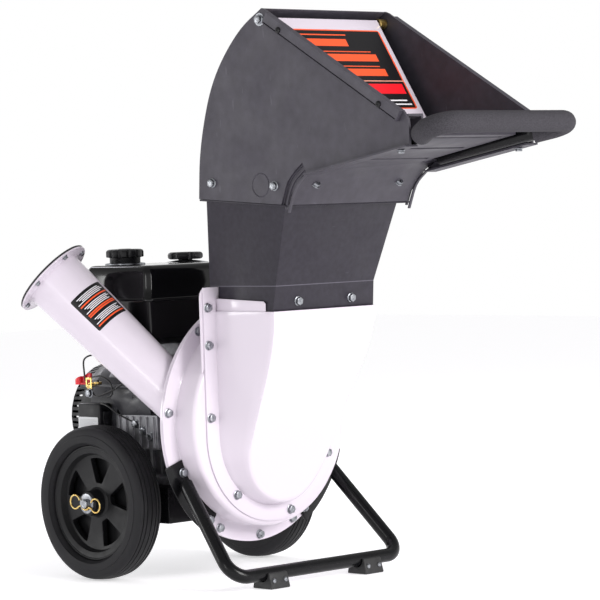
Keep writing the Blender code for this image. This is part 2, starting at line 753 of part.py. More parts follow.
def seat_z(y):
    """Height of the hopper's seat, a plane that drops towards the front."""
    rear, front = Vector(REAR_CURVE[0]), Vector(ARC_CUT[-1])
    return front.y + (rear.y - front.y) * (y - front.x) / (rear.x - front.x) - 1.3 * GAP


def neck_loop(half, rear, front, z_rear, z_front):
    return [(-half, front, z_front), (half, front, z_front), (half, rear, z_rear), (-half, rear, z_rear)]


def neck():
    """Black sheet neck: it stands on the duct, widens above a fold and carries the hopper on its flange."""
    low, fold, w = DUCT_TOP + GAP, NECK_FOLD_Z, NECK_WALL
    outside, inside = [], []
    for inset, loops in ((0.0, outside), (w, inside)):
        for half, rear, front, z in (
            (NECK_HALF_LOW, NECK_REAR_LOW, NECK_FRONT_LOW, low),
            (NECK_FOLD_HALF, NECK_REAR_LOW, NECK_FOLD_FRONT, fold),
        ):
            loops.append(neck_loop(half - inset, rear - inset, front + inset, z, z))
    half, rear, front = NECK_HALF_TOP, NECK_REAR_TOP, NECK_FRONT_TOP
    outside.append(neck_loop(half, rear, front, seat_z(rear) - w, seat_z(front) - w))
    half, rear, front = NECK_FLANGE_HALF, NECK_REAR_TOP + NECK_REAR_LIP, NECK_FLANGE_FRONT
    for drop in (w, 0.0):
        outside.append(neck_loop(half, rear, front, seat_z(rear) - drop, seat_z(front) - drop))
    half, rear, front = NECK_HALF_TOP - w, NECK_REAR_TOP - w, NECK_FRONT_TOP + w
    inside.append(neck_loop(half, rear, front, seat_z(rear), seat_z(front)))
    body = node("neck", loft(outside + inside[::-1], closed=True), BLACK_PAINT)
    wide = NECK_FLANGE_HALF
    over_plate = PLATE_TOP + GAP
    boolean(body, block((-wide, NECK_STEP, low - w), (wide, -NECK_REAR_LOW, over_plate)), "DIFFERENCE")
    half = NECK_FOLD_HALF
    shelf = block((-half, NECK_STEP, over_plate), (half, NECK_REAR_LOW - w / 2, over_plate + w))
    boolean(body, shelf, "UNION")


# Hopper: moulded side walls, a curved rear wall, a stepped tray and a skirt in front of the neck
REAR_CURVE = [
    (-0.040, 0.634), (-0.045, 0.700), (-0.058, 0.760), (-0.078, 0.815), (-0.108, 0.862),
    (-0.150, 0.905), (-0.198, 0.935),
]
MOUTH_TOP = (-0.206, 0.932)
MOUTH_LOW = (-0.499, 0.759)
NOSE = [(-0.508, 0.747), (-0.510, 0.735), (-0.510, 0.704)]
LEDGE_REAR = (-0.290, 0.6665)
SKIRT_CURVE = [(-0.2405, 0.620), (-0.248, 0.637), (-0.262, 0.654), (-0.280, 0.671), (-0.302, 0.683)]
SKIRT_TUCK = (-0.320, 0.6865)
FLOOR_REAR = (-0.300, 0.6826)
FLOOR_FRONT = (-0.505, 0.7205)
ARC_CUT = [(-0.279, 0.686), (-0.245, 0.663), (-0.229, 0.621)]


def side_wall(side, sign):
    outer = WALL_OUTER
    inner = WALL_OUTER - WALL_THICKNESS
    outline = REAR_CURVE + [MOUTH_TOP, MOUTH_LOW] + NOSE + [LEDGE_REAR] + ARC_CUT
    wall = node("hopper_side_" + side, slab_x(outline, sign * inner, sign * outer), HOPPER_PLASTIC)
    lip = strip([MOUTH_TOP, MOUTH_LOW], LIP_WIDTH)
    boolean(wall, slab_x(lip, sign * (inner + 0.001), sign * (outer + LIP_THICKNESS)), "UNION")
    ledge = strip([LEDGE_REAR, NOSE[-1]], -LEDGE_SHEET)
    boolean(wall, slab_x(ledge, sign * (inner - 0.014), sign * (outer + LEDGE)), "UNION")


def hopper():
    for side, sign in (("left", -1), ("right", 1)):
        side_wall(side, sign)
    half = WALL_OUTER - WALL_THICKNESS - GAP
    rear = strip([(y - 0.001, z) for y, z in REAR_CURVE], WALL_THICKNESS)
    node("hopper_rear", slab_x(rear, -half, half), HOPPER_PLASTIC)
    tray(half)
    rod_y, rod_z = MOUTH_TOP[0] + 0.010, MOUTH_TOP[1] - 0.018
    return rod_y, rod_z


def tray(half):
    skirt = strip(SKIRT_CURVE + [SKIRT_TUCK], -TRAY_SHEET)
    obj = node("tray", slab_x(skirt, -half, half), HOPPER_PLASTIC)
    start, end = Vector(FLOOR_REAR), Vector(FLOOR_FRONT)
    t, step, middle = TRAY_SHEET, TRAY_STEP, TRAY_HALF
    section = [
        (-half, step), (-middle - t, step), (-middle, 0.0), (middle, 0.0), (middle + t, step), (half, step),
        (half, step + t), (middle, step + t), (middle - t, t), (-middle + t, t), (-middle, step + t),
        (-half, step + t),
    ]
    loops = []
    for y, z in (start, end):
        loops.append([(x, y, z + rise) for x, rise in section])
    boolean(obj, loft(loops), "UNION")
    for sign in (-1, 1):
        low = (sign * TRAY_HALF, start.x - 2 * t, start.y)
        high = (sign * half, start.x, start.y + TRAY_STEP + t)
        boolean(obj, block(low, high), "UNION")


def baffle(rod_y, rod_z):
    rod_at, lower = Vector((rod_y, rod_z)), Vector(BAFFLE_LOW)
    down = (lower - rod_at).normalized()
    forward = Vector((down.y, -down.x)) * (ROD_RADIUS + GAP)
    line = [rod_at - down * ROD_RADIUS + forward, lower + forward]
    node("baffle", slab_x(strip(line, -BAFFLE_SHEET), -BAFFLE_HALF, BAFFLE_HALF), WHITE_COAT)


def mouth_rod(rod_y, rod_z):
    half = WALL_OUTER - WALL_THICKNESS - GAP
    node("mouth_rod", rod(ROD_RADIUS, -half, half, "X", 14), PLATING, (0, rod_y, rod_z))


def handle():
    """Bent tube whose legs lie on the walls' bottom ledges, with a foam grip on its crossbar."""
    ledge_rear, ledge_front = Vector(LEDGE_REAR), Vector(NOSE[-1])
    slope = (ledge_front - ledge_rear).normalized()
    rise = Vector((-slope.y, slope.x)) * -(LEDGE_SHEET + GAP + HANDLE_TUBE)
    start = ledge_rear + slope * HANDLE_SEAT + rise
    bend = ledge_front + slope * HANDLE_BEND_AHEAD + rise
    bar_y = ledge_front.x - HANDLE_REACH
    corners = []
    for sign in (-1, 1):
        leg = [
            (sign * HANDLE_LEG_X, start.x, start.y), (sign * HANDLE_LEG_X, bend.x, bend.y),
            (sign * HANDLE_BAR_HALF, bar_y, HANDLE_BAR_Z),
        ]
        corners += leg if sign < 0 else leg[::-1]
    path = rounded_path(corners, [HANDLE_LEG_BEND, HANDLE_BEND, HANDLE_BEND, HANDLE_LEG_BEND], 5)
    node("handle_tube", bar(path, HANDLE_TUBE), BLACK_PAINT)
    covered = [i for i, point in enumerate(path) if point.y < ledge_front.x - GRIP_CLEARANCE]
    grip = sleeve(path, covered[0], covered[-1] + 1, HANDLE_TUBE + GAP, GRIP_RADIUS)
    node("handle_grip", grip, FOAM)


def rotor():
    spin = empty("rotor_spin", (0, 0, SHAFT_Z), ROOT)
    shaft = [
        (SHAFT_FRONT, 0.0), (SHAFT_FRONT, SHAFT_RADIUS), (SHAFT_REAR, SHAFT_RADIUS), (SHAFT_REAR, 0.0),
    ]
    node("crankshaft", lathe(shaft, "Y", 28), BARE_STEEL, parent=spin)
    bore = SHAFT_RADIUS + GAP
    disc = [
        (DISC_REAR, bore), (DISC_REAR, IMPELLER_RADIUS), (DISC_REAR - IMPELLER_DISC, IMPELLER_RADIUS),
        (DISC_REAR - IMPELLER_DISC, IMPELLER_HUB), (SHAFT_FRONT + 0.004, IMPELLER_HUB),
        (SHAFT_FRONT + 0.004, bore),
    ]
    impeller = node("impeller", lathe(disc, "Y", 40, closed=True), BARE_STEEL, parent=spin)
    face = DISC_REAR - IMPELLER_DISC + 0.001
    for k in range(PADDLES):
        bm = block((IMPELLER_HUB - 0.002, face - PADDLE_DEPTH, -PADDLE_SHEET / 2),
                   (IMPELLER_RADIUS - 0.001, face, PADDLE_SHEET / 2))
        bmesh.ops.rotate(bm, verts=bm.verts, matrix=Matrix.Rotation(2 * pi * k / PADDLES, 3, "Y"))
        boolean(impeller, bm, "UNION")
    for label, turn in (("first", 0.0), ("second", pi)):
        near = IMPELLER_RADIUS - KNIFE_LENGTH - 0.005
        bm = block((near, DISC_REAR + GAP, -KNIFE_WIDTH / 2),
                   (near + KNIFE_LENGTH, DISC_REAR + GAP + KNIFE_THICKNESS, KNIFE_WIDTH / 2))
        edge = [v for v in bm.verts if v.co.z > 0 and v.co.y > DISC_REAR + 0.001]
        for vert in edge:
            vert.co.z -= KNIFE_THICKNESS * 1.6
        bmesh.ops.rotate(bm, verts=bm.verts, matrix=Matrix.Rotation(turn + pi / 4, 3, "Y"))
        node("chipper_knife_" + label, bm, BARE_STEEL, parent=spin)
    hub = [
        (FLYWHEEL_FRONT, bore), (FLYWHEEL_FRONT, FLYWHEEL_RADIUS),
        (FLYWHEEL_FRONT + FLYWHEEL_THICKNESS, FLYWHEEL_RADIUS),
        (FLYWHEEL_FRONT + FLYWHEEL_THICKNESS, FLYWHEEL_RADIUS - 0.020),
        (FLYWHEEL_FRONT + 0.010, FLYWHEEL_RADIUS - 0.024), (FLYWHEEL_FRONT + 0.010, 0.030),
        (SHAFT_REAR - 0.004, 0.030), (SHAFT_REAR - 0.004, bore),
    ]
    node("flywheel", lathe(hub, "Y", 28, closed=True), CAST, parent=spin)


def lean(along, across):
    """Point of the leaning cylinder: distance along its axis and across it, as (x, z)."""
    a, b = cos(CYLINDER_LEAN), sin(CYLINDER_LEAN)
    return (along * a - across * b, SHAFT_Z + along * b + across * a)


def crankcase():
    top, foot = ENGINE_TOP, BASE_TOP + GAP
    body = block((-ENGINE_HALF, ENGINE_BODY_FRONT, foot + 0.002), (ENGINE_HALF, ENGINE_BODY_REAR, top))
    case = node("crankcase", body, CAST)
    round_edges(case, 0.010, 2)
    plinth = block((-ENGINE_FOOT_HALF, ENGINE_BODY_FRONT + 0.026, foot),
                   (ENGINE_FOOT_HALF, ENGINE_BODY_REAR - 0.006, foot + ENGINE_FOOT_THICKNESS))
    boolean(case, plinth, "UNION")
    boolean(case, rod(PTO_RADIUS, ENGINE_FACE, ENGINE_BODY_FRONT + 0.012, "Y", 40), "UNION", (0, 0, SHAFT_Z))
    for x in (-0.055, 0.025):
        post = block((x - 0.012, TANK_FRONT + 0.020, top - 0.002),
                     (x + 0.012, ENGINE_BODY_REAR - 0.012, TANK_BOTTOM - GAP))
        boolean(case, post, "UNION")
    boolean(case, rod(0.016, -ENGINE_HALF - 0.012, -ENGINE_HALF + 0.004, "X", 24), "UNION", OIL_PLUG)
    boolean(case, rod(0.004, -ENGINE_HALF - 0.012, -ENGINE_HALF + 0.004, "X", 14), "UNION", GOVERNOR)
    boolean(case, rod(0.0095, -ENGINE_HALF - 0.05, -ENGINE_HALF + 0.022, "X", 20), "DIFFERENCE", OIL_PLUG)
    bore = rod(SHAFT_RADIUS + RUNNING_GAP, ENGINE_FACE - 0.05, ENGINE_BODY_REAR + 0.05, "Y", 32)
    boolean(case, bore, "DIFFERENCE", (0, 0, SHAFT_Z))


def oil_plug():
    out = -ENGINE_HALF - 0.012 - GAP
    profile = [
        (-ENGINE_HALF + 0.018, 0.0), (-ENGINE_HALF + 0.018, 0.009), (out, 0.009), (out, 0.0155),
        (out - 0.012, 0.0145), (out - 0.014, 0.012), (out - 0.014, 0.0),
    ]
    lift = empty("oil_plug_lift", OIL_PLUG, ROOT)
    node("oil_plug", lathe(profile, "X", 24), BLACK_CASE, parent=lift)


def cylinder():
    """Finned barrel and head, leaning over to the right, with its valve cover and spark plug."""
    core, fin = CYLINDER_HALF * 0.72, CYLINDER_HALF
    root_x = ENGINE_HALF + GAP
    a, b = cos(CYLINDER_LEAN), sin(CYLINDER_LEAN)
    upper_start = (root_x + core * b) / a
    lower_start = (root_x - core * b) / a
    pitch = (CYLINDER_END - upper_start - 0.010) / FIN_COUNT
    upper, lower = [lean(upper_start, core)], [lean(lower_start, -core)]
    for k in range(FIN_COUNT):
        near = upper_start + 0.008 + pitch * k
        far = near + FIN_THICKNESS if k < FIN_COUNT - 1 else CYLINDER_END
        upper += [lean(near, core), lean(near, fin), lean(far, fin)]
        lower += [lean(near, -core), lean(near, -fin), lean(far, -fin)]
        if k < FIN_COUNT - 1:
            upper.append(lean(far, core))
            lower.append(lean(far, -core))
    finned = slab_y(upper + lower[::-1], CYLINDER_Y - CYLINDER_HALF, CYLINDER_Y + CYLINDER_HALF)
    barrel = node("cylinder", finned, CAST)
    x, z = 0.120, MUFFLER_LOW.z
    port = block((x - 0.016, CYLINDER_Y - 0.020, z - 0.035), (x + 0.016, CYLINDER_Y + 0.020, z - GAP))
    boolean(barrel, port, "UNION")
    near, far = CYLINDER_END + GAP, CYLINDER_END + VALVE_COVER_HEIGHT
    half = CYLINDER_HALF * 0.86
    deep = CYLINDER_HALF * 0.92
    loops = []
    for along, share in ((near, 1.0), (far - 0.008, 0.97), (far, 0.82)):
        loop = []
        for u, v in ((-1, -1), (1, -1), (1, 1), (-1, 1)):
            x, z = lean(along, half * share * v)
            loop.append((x, CYLINDER_Y + deep * share * u, z))
        loops.append(loop)
    round_edges(node("valve_cover", loft(loops), CAST), 0.008, 2)
    px, pz = lean(CYLINDER_END - 0.018, -0.012)
    front = CYLINDER_Y - CYLINDER_HALF - GAP
    profile = [
        (front, 0.0), (front, 0.010), (front - 0.005, 0.010), (front - 0.006, 0.0055),
        (front - 0.012, 0.0055), (front - 0.013, 0.0090), (front - 0.034, 0.0080), (front - 0.036, 0.006),
        (front - 0.036, 0.0),
    ]
    node("spark_plug", lathe(profile, "Y", 16), BLACK_CASE, (px, 0, pz))


def rounded_box_loop(low, high, z, radius, steps=3):
    x0, y0 = low
    x1, y1 = high
    points = []
    for cx, cy, start in ((x1 - radius, y1 - radius, 0.0), (x0 + radius, y1 - radius, pi / 2),
                          (x0 + radius, y0 + radius, pi), (x1 - radius, y0 + radius, 3 * pi / 2)):
        points += arc((cx, cy), radius, start, start + pi / 2, steps)
    return [(x, y, z) for x, y in points]


def inset_loops(low, high, levels, radius):
    """Rounded outlines at several heights, each drawn in by its inset."""
    loops = []
    for inset, z in levels:
        near = (low[0] + inset, low[1] + inset)
        far = (high[0] - inset, high[1] - inset)
        loops.append(rounded_box_loop(near, far, z, radius - inset))
    return loops


def tank_levels(inset):
    """Levels of the tank's loft as (inset from its widest outline, height)."""
    return [
        (0.022 + inset, TANK_BOTTOM + inset), (0.010 + inset, TANK_BOTTOM + 0.006 + inset * 0.6),
        (0.005 + inset, TANK_BOTTOM + 0.022), (0.004 + inset, TANK_SEAM - 0.0022),
    ], [
        (0.004 + inset, TANK_SEAM + 0.0022), (0.007 + inset, TANK_TOP - 0.022),
        (0.016 + inset, TANK_TOP - 0.008 - inset * 0.6), (0.034 + inset, TANK_TOP - inset),
    ]


def fuel_tank():
    seam = [(0.0, TANK_SEAM - 0.0018), (0.0, TANK_SEAM + 0.0018)]
    lower, upper = tank_levels(0.0)
    loops = []
    for inset, z in lower + seam + upper:
        low = (TANK_LEFT + inset, TANK_FRONT + inset)
        high = (TANK_RIGHT - inset, TANK_REAR - inset)
        loops.append(rounded_box_loop(low, high, z, 0.034 - inset * 0.5))
    tank = node("fuel_tank", loft(loops), BLACK_PAINT)
    neck_top = TANK_TOP + 0.010
    boolean(tank, rod(FILLER_RADIUS, TANK_TOP - 0.012, neck_top, "Z", 32), "UNION", (CAP_X, CAP_Y, 0))
    lower, upper = tank_levels(TANK_WALL)
    loops = []
    for inset, z in lower + upper:
        low = (TANK_LEFT + inset, TANK_FRONT + inset)
        high = (TANK_RIGHT - inset, TANK_REAR - inset)
        loops.append(rounded_box_loop(low, high, z, 0.034 - inset * 0.5))
    boolean(tank, loft(loops), "DIFFERENCE")
    bore = rod(FILLER_RADIUS - TANK_WALL, TANK_TOP - 0.020, neck_top + 0.01, "Z", 32)
    boolean(tank, bore, "DIFFERENCE", (CAP_X, CAP_Y, 0))
    lift = empty("fuel_cap_lift", (CAP_X, CAP_Y, neck_top), ROOT)
    inside = FILLER_RADIUS + GAP
    low = -0.009
    profile = [
        (GAP, 0.0), (GAP, inside), (low, inside), (low, CAP_RADIUS),
        (low + CAP_HEIGHT * 0.75, CAP_RADIUS),
        (low + CAP_HEIGHT * 0.92, CAP_RADIUS * 0.93), (low + CAP_HEIGHT, CAP_RADIUS * 0.76),
        (low + CAP_HEIGHT, 0.0),
    ]
    node("fuel_cap", lathe(profile, "Z", 32), BLACK_CASE, parent=lift)


def air_cleaner():
    low = (CLEANER_X - CLEANER_HALF_X, CLEANER_Y - CLEANER_HALF_Y)
    high = (CLEANER_X + CLEANER_HALF_X, CLEANER_Y + CLEANER_HALF_Y)
    split = CLEANER_SPLIT
    levels = [(0.006, CLEANER_BOTTOM), (0.0, CLEANER_BOTTOM + 0.008), (0.0, split)]
    loops = inset_loops(low, high, levels, 0.018)
    node("air_cleaner_case", loft(loops), BLACK_CASE)
    top = CLEANER_TOP
    levels = [(0.0, split + GAP), (0.001, top - 0.010), (0.004, top - 0.003), (0.012, top)]
    loops = inset_loops(low, high, levels, 0.020)
    node("air_cleaner_cover", loft(loops), BLACK_CASE)
    turn = empty("cleaner_knob_turn", (CLEANER_X, CLEANER_Y, CLEANER_TOP), ROOT)
    top, rim = KNOB_LIFT + KNOB_HEIGHT, KNOB_RADIUS
    profile = [
        (GAP, 0.0), (GAP, rim * 0.4), (KNOB_LIFT, rim * 0.4), (KNOB_LIFT, rim), (top - 0.003, rim),
        (top, rim * 0.88), (top, 0.0),
    ]
    knob = node("air_cleaner_knob", lathe(profile, "Z", 36), BLACK_CASE, parent=turn)
    for k in range(KNOB_HOLLOWS):
        angle = KNOB_TURN + 2 * pi * k / KNOB_HOLLOWS
        hollow = rod(rim * 0.22, KNOB_LIFT - 0.004, top + 0.004, "Z", 14)
        away = rim * 1.09
        bmesh.ops.translate(hollow, verts=hollow.verts, vec=(away * cos(angle), away * sin(angle), 0))
        boolean(knob, hollow, "DIFFERENCE")


def carburettor():
    x0, x1 = CLEANER_X - 0.025, CLEANER_X + 0.025
    y0, y1 = 0.190, 0.232
    z0, z1 = 0.392, CLEANER_BOTTOM - GAP
    body = node("carburettor", block((x0, y0, z0), (x1, y1, z1)), CAST)
    round_edges(body, 0.004)
    flange = block((x0 + 0.016, CYLINDER_Y + CYLINDER_HALF + GAP, z0 - 0.045),
                   (x1 - 0.010, y0 + 0.008, z0 + 0.012))
    boolean(body, flange, "UNION")
    for name, (x, z), side, tip in (
        ("choke_lever", (CLEANER_X + 0.012, z0 + 0.045), 1, 0.005),
        ("fuel_valve_lever", (CLEANER_X - 0.010, z0 + 0.016), -1, 0.006),
    ):
        pivot = (x, y1, z)
        turn = empty(name + "_turn", pivot, ROOT)
        root, end = sorted((0.0, side * CARB_LEVER))
        low, high = sorted((side * (CARB_LEVER - 0.008), side * (CARB_LEVER + 0.002)))
        arm = block((root, RUNNING_GAP, -0.0035), (end, RUNNING_GAP + 0.003, 0.0035))
        lever = node(name, arm, BLACK_CASE, parent=turn)
        boolean(lever, rod(0.0065, RUNNING_GAP, RUNNING_GAP + 0.005, "Y", 18), "UNION")
        boolean(lever, block((low, RUNNING_GAP, -tip), (high, RUNNING_GAP + 0.010, tip)), "UNION")
        boolean(lever, rod(LEVER_PIN + RUNNING_GAP / 4, -0.01, 0.02, "Y", 12), "DIFFERENCE")
        boolean(body, rod(LEVER_PIN, y1 - 0.004, y1 + RUNNING_GAP + 0.006, "Y", 12), "UNION", (x, 0, z))


def muffler():
    body = node("muffler", block(MUFFLER_LOW, MUFFLER_HIGH), BARE_STEEL)
    round_edges(body, 0.012, 3)
    outlet = rod(0.009, MUFFLER_HIGH.x - 0.02, MUFFLER_HIGH.x + 0.016, "X", 18)
    place = (0, MUFFLER_LOW.y + 0.028, MUFFLER_HIGH.z - 0.030)
    boolean(body, outlet, "UNION", place)
    boolean(body, rod(0.0075, MUFFLER_HIGH.x - 0.010, MUFFLER_HIGH.x + 0.03, "X", 18), "DIFFERENCE", place)
    off = GUARD_STAND_OFF
    low = (MUFFLER_LOW.x - off, MUFFLER_LOW.y - off, MUFFLER_LOW.z + 0.020)
    high = (MUFFLER_HIGH.x + off, MUFFLER_HIGH.y + off, MUFFLER_HIGH.z + off)
    guard = node("muffler_guard", block(low, high), BLACK_PAINT)
    s = GUARD_SHEET
    hollow = block((low[0] + s, low[1] + s, low[2] - 0.05), (high[0] - s, high[1] - s, high[2] - s))
    boolean(guard, hollow, "DIFFERENCE")
    x, y = (MUFFLER_LOW.x + MUFFLER_HIGH.x) / 2, (MUFFLER_LOW.y + MUFFLER_HIGH.y) / 2
    for step in (-0.036, 0.036):
        seat = block((x + step - 0.006, y - 0.006, MUFFLER_HIGH.z + GAP),
                     (x + step + 0.006, y + 0.006, high[2] - s / 2))
        boolean(guard, seat, "UNION")
    boolean(guard, rod(0.012, MUFFLER_HIGH.x - 0.02, MUFFLER_HIGH.x + 0.03, "X", 20), "DIFFERENCE", place)
    for k in range(5):
        z = MUFFLER_LOW.z + 0.034 + 0.0105 * k
        slot = block((x - 0.040, low[1] - 0.01, z), (x + 0.040, low[1] + 0.005, z + 0.005))
        boolean(guard, slot, "DIFFERENCE")


def fan_shroud():
    s = SHROUD_SHEET
    profile = [
        (SHROUD_FRONT, SHROUD_RADIUS), (SHROUD_REAR - 0.005, SHROUD_RADIUS),
        (SHROUD_REAR, SHROUD_RADIUS - 0.005),
        (SHROUD_REAR, RECOIL_BASE - 0.012), (SHROUD_REAR - s, RECOIL_BASE - 0.012),
        (SHROUD_REAR - s, SHROUD_RADIUS - 0.005 - s / 2), (SHROUD_REAR - 0.005 - s / 2, SHROUD_RADIUS - s),
        (SHROUD_FRONT, SHROUD_RADIUS - s),
    ]
    shroud = node("fan_shroud", lathe(profile, "Y", 40, closed=True), BLACK_PAINT, (0, 0, SHAFT_Z))
    front, rear = ENGINE_BODY_REAR + GAP, SHROUD_FRONT + 0.034
    half = CYLINDER_HALF + 0.004
    near, far = SHROUD_RADIUS - 0.030, CYLINDER_END
    wide = [
        lean(near, -half), lean(far, -half), lean(far, half * 0.2), lean(near + 0.03, half * 0.78),
        lean(near, half * 0.78),
    ]
    boolean(shroud, slab_y(wide, front, rear), "UNION")
    h = half - s
    inner = [lean(near - 0.03, -h), lean(far - s, -h), lean(far - s, h * 0.2), lean(near + 0.03, h * 0.74),
             lean(near - 0.03, h * 0.74)]
    boolean(shroud, slab_y(inner, front - 0.01, rear - s), "DIFFERENCE")
    fan_room = rod(SHROUD_RADIUS - s, front - 0.02, SHROUD_REAR - s, "Y", 40)
    boolean(shroud, fan_room, "DIFFERENCE", (0, 0, SHAFT_Z))


def recoil_cover():
    """Deep cup behind the fan, tapering to the rear, with the starter pulley and grip."""
    start = SHROUD_REAR + GAP
    s = SHROUD_SHEET * 0.7
    end = RECOIL_REAR
    post = 0.006
    r = RECOIL_RADIUS
    profile = [
        (end, 0.0), (end, r - 0.014), (end - 0.0015, r - 0.007), (end - 0.006, r - 0.0015),
        (end - 0.022, r + 0.001),
        (start + 0.040, r + 0.007), (start, RECOIL_BASE),
        (start, RECOIL_BASE - s), (start + 0.040, r + 0.007 - s), (end - 0.022, r + 0.001 - s),
        (end - 0.006 - s, r - 0.0015 - s), (end - 0.0015 - s, r - 0.007 - s), (end - s, r - 0.014 - s),
        (end - s, 0.020), (PULLEY_REAR + RUNNING_GAP, 0.012),
        (PULLEY_REAR + RUNNING_GAP, post), (PULLEY_REAR - PULLEY_THICKNESS - 0.002, post),
        (PULLEY_REAR - PULLEY_THICKNESS - 0.002, 0.0),
    ]
    cover = node("recoil_cover", lathe(profile, "Y", 32), BLACK_PAINT, (0, 0, SHAFT_Z))
    rope_z = SHAFT_Z + PULLEY_RADIUS - 0.004
    rope_y = PULLEY_REAR - PULLEY_THICKNESS / 2
    boss = block((r - 0.018, rope_y - 0.008, rope_z - 0.009), (GRIP_START, rope_y + 0.008, rope_z + 0.009))
    boolean(cover, boss, "UNION")
    boolean(cover, rod(0.004, 0.060, GRIP_START + 0.02, "X", 16), "DIFFERENCE", (0, rope_y, rope_z))
    pulley_turn = empty("starter_pulley_turn", (0, rope_y, SHAFT_Z), ROOT)
    bore = post + RUNNING_GAP / 2
    w = PULLEY_THICKNESS / 2
    profile = [
        (-w, bore), (-w, PULLEY_RADIUS), (-w + 0.002, PULLEY_RADIUS), (-0.001, PULLEY_RADIUS - 0.008),
        (0.001, PULLEY_RADIUS - 0.008), (w - 0.002, PULLEY_RADIUS), (w, PULLEY_RADIUS), (w, bore),
    ]
    node("starter_pulley", lathe(profile, "Y", 24, closed=True), BLACK_CASE, parent=pulley_turn)
    pull = empty("starter_pull", (GRIP_START, rope_y, rope_z), ROOT)
    stem = [(GAP, 0.0), (GAP, 0.007), (0.016, 0.0085), (0.016, 0.0)]
    grip = node("starter_grip", lathe(stem, "X", 16), BLACK_CASE, parent=pull)
    profile = [
        (-0.040, 0.0), (-0.040, 0.006), (-0.036, 0.0092), (0.036, 0.0092), (0.040, 0.006), (0.040, 0.0),
    ]
    handle_bar = lathe(profile, "Z", 16)
    bmesh.ops.translate(handle_bar, verts=handle_bar.verts, vec=(0.020, 0, 0))
    boolean(grip, handle_bar, "UNION")


def controls():
    """Throttle bracket and lever, governor arm, and the stop switch, all on the engine's left."""
    side = -ENGINE_HALF - GAP
    s = 0.003
    z = BRACKET_Z
    left = THROTTLE.x - 0.014
    plate = [
        (side, 0.150), (side, ENGINE_BODY_REAR - 0.002), (-SHROUD_RADIUS - 0.004, ENGINE_BODY_REAR - 0.002),
        (-SHROUD_RADIUS - 0.004, THROTTLE.y + 0.030), (left, THROTTLE.y + 0.030), (left, 0.150),
    ]
    levels = [[(x, y, level) for x, y in plate] for level in (z - s, z)]
    bracket = node("control_bracket", loft(levels), CLIP_PLATING)
    seat = block((side - s, 0.150, z - 0.026), (side, ENGINE_BODY_REAR - 0.004, z - s / 2))
    boolean(bracket, seat, "UNION")
    boolean(bracket, rod(LEVER_PIN, z - s / 2, z + 0.008, "Z", 14), "UNION", (THROTTLE.x, THROTTLE.y, 0))
    turn = empty("throttle_turn", THROTTLE, ROOT)
    reach = THROTTLE_LENGTH
    bm = block((-reach, -0.0045, RUNNING_GAP / 2), (0.0, 0.0045, RUNNING_GAP / 2 + 0.003))
    bmesh.ops.rotate(bm, verts=bm.verts, matrix=Matrix.Rotation(THROTTLE_REST, 3, "Z"))
    lever = node("throttle_lever", bm, RED_PLASTIC, parent=turn)
    boolean(lever, rod(0.007, RUNNING_GAP / 2, RUNNING_GAP / 2 + 0.004, "Z", 18), "UNION")
    tip = rod(0.0065, RUNNING_GAP / 2, THROTTLE_TIP, "Z", 16)
    away = Matrix.Rotation(THROTTLE_REST, 3, "Z") @ Vector((-reach, 0, 0))
    bmesh.ops.translate(tip, verts=tip.verts, vec=away)
    boolean(lever, tip, "UNION")
    boolean(lever, rod(LEVER_PIN + RUNNING_GAP / 4, -0.01, 0.02, "Z", 14), "DIFFERENCE")
    turn = empty("governor_turn", (-ENGINE_HALF, GOVERNOR.y, GOVERNOR.z), ROOT)
    arm = [(-0.0070, -0.012), (0.0070, -0.012), (0.0050, 0.056), (-0.0050, 0.056)]
    arm = node("governor_arm", slab_x(arm, -0.009, -0.0065), CLIP_PLATING, parent=turn)
    boolean(arm, rod(0.0075, -0.0108, -RUNNING_GAP, "X", 18), "UNION")
    boolean(arm, rod(0.004 + RUNNING_GAP / 4, -0.05, 0.05, "X", 16), "DIFFERENCE")
    right = -SHROUD_RADIUS - GAP
    half = SWITCH_HEIGHT / 2
    y0, y1 = SWITCH_Y - SWITCH_LENGTH / 2, SWITCH_Y + SWITCH_LENGTH / 2
    case = block((right - SWITCH_DEPTH, y0, SWITCH_Z - half), (right, y1, SWITCH_Z + half))
    box = round_edges(node("switch_box", case, BLACK_CASE), 0.003)
    place = Vector((right - SWITCH_DEPTH / 2, y0, SWITCH_Z))
    wide, high = 0.007, 0.011
    recess = block((-wide - GAP, -0.01, -high - 0.0015), (wide + GAP, 0.009, high + 0.0015))
    boolean(box, recess, "DIFFERENCE", place)
    turn = empty("switch_turn", place + Vector((0, 0.003, 0)), ROOT)
    outline = [(-0.007, -high), (-0.0045, 0.0), (-0.007, high), (0.001, high), (0.005, 0.0), (0.001, -high)]
    node("switch_rocker", slab_x(outline, -wide, wide), BLACK_CASE, parent=turn)


def settle():
    """Move the whole machine so that its box is centred on x and y."""
    bpy.context.view_layer.update()
    graph = bpy.context.evaluated_depsgraph_get()
    corners = []
    for obj in bpy.context.collection.objects:
        if obj.type == "MESH" and not obj.hide_render:
            seen = obj.evaluated_get(graph)
            corners += [obj.matrix_world @ vert.co for vert in seen.data.vertices]
    low = [min(point[axis] for point in corners) for axis in range(3)]
    high = [max(point[axis] for point in corners) for axis in range(3)]
    ROOT.location = (-(low[0] + high[0]) / 2, -(low[1] + high[1]) / 2, -low[2])
    bpy.context.view_layer.update()


clear_scene()
ROOT = empty("garden_shredder", (0, 0, 0))

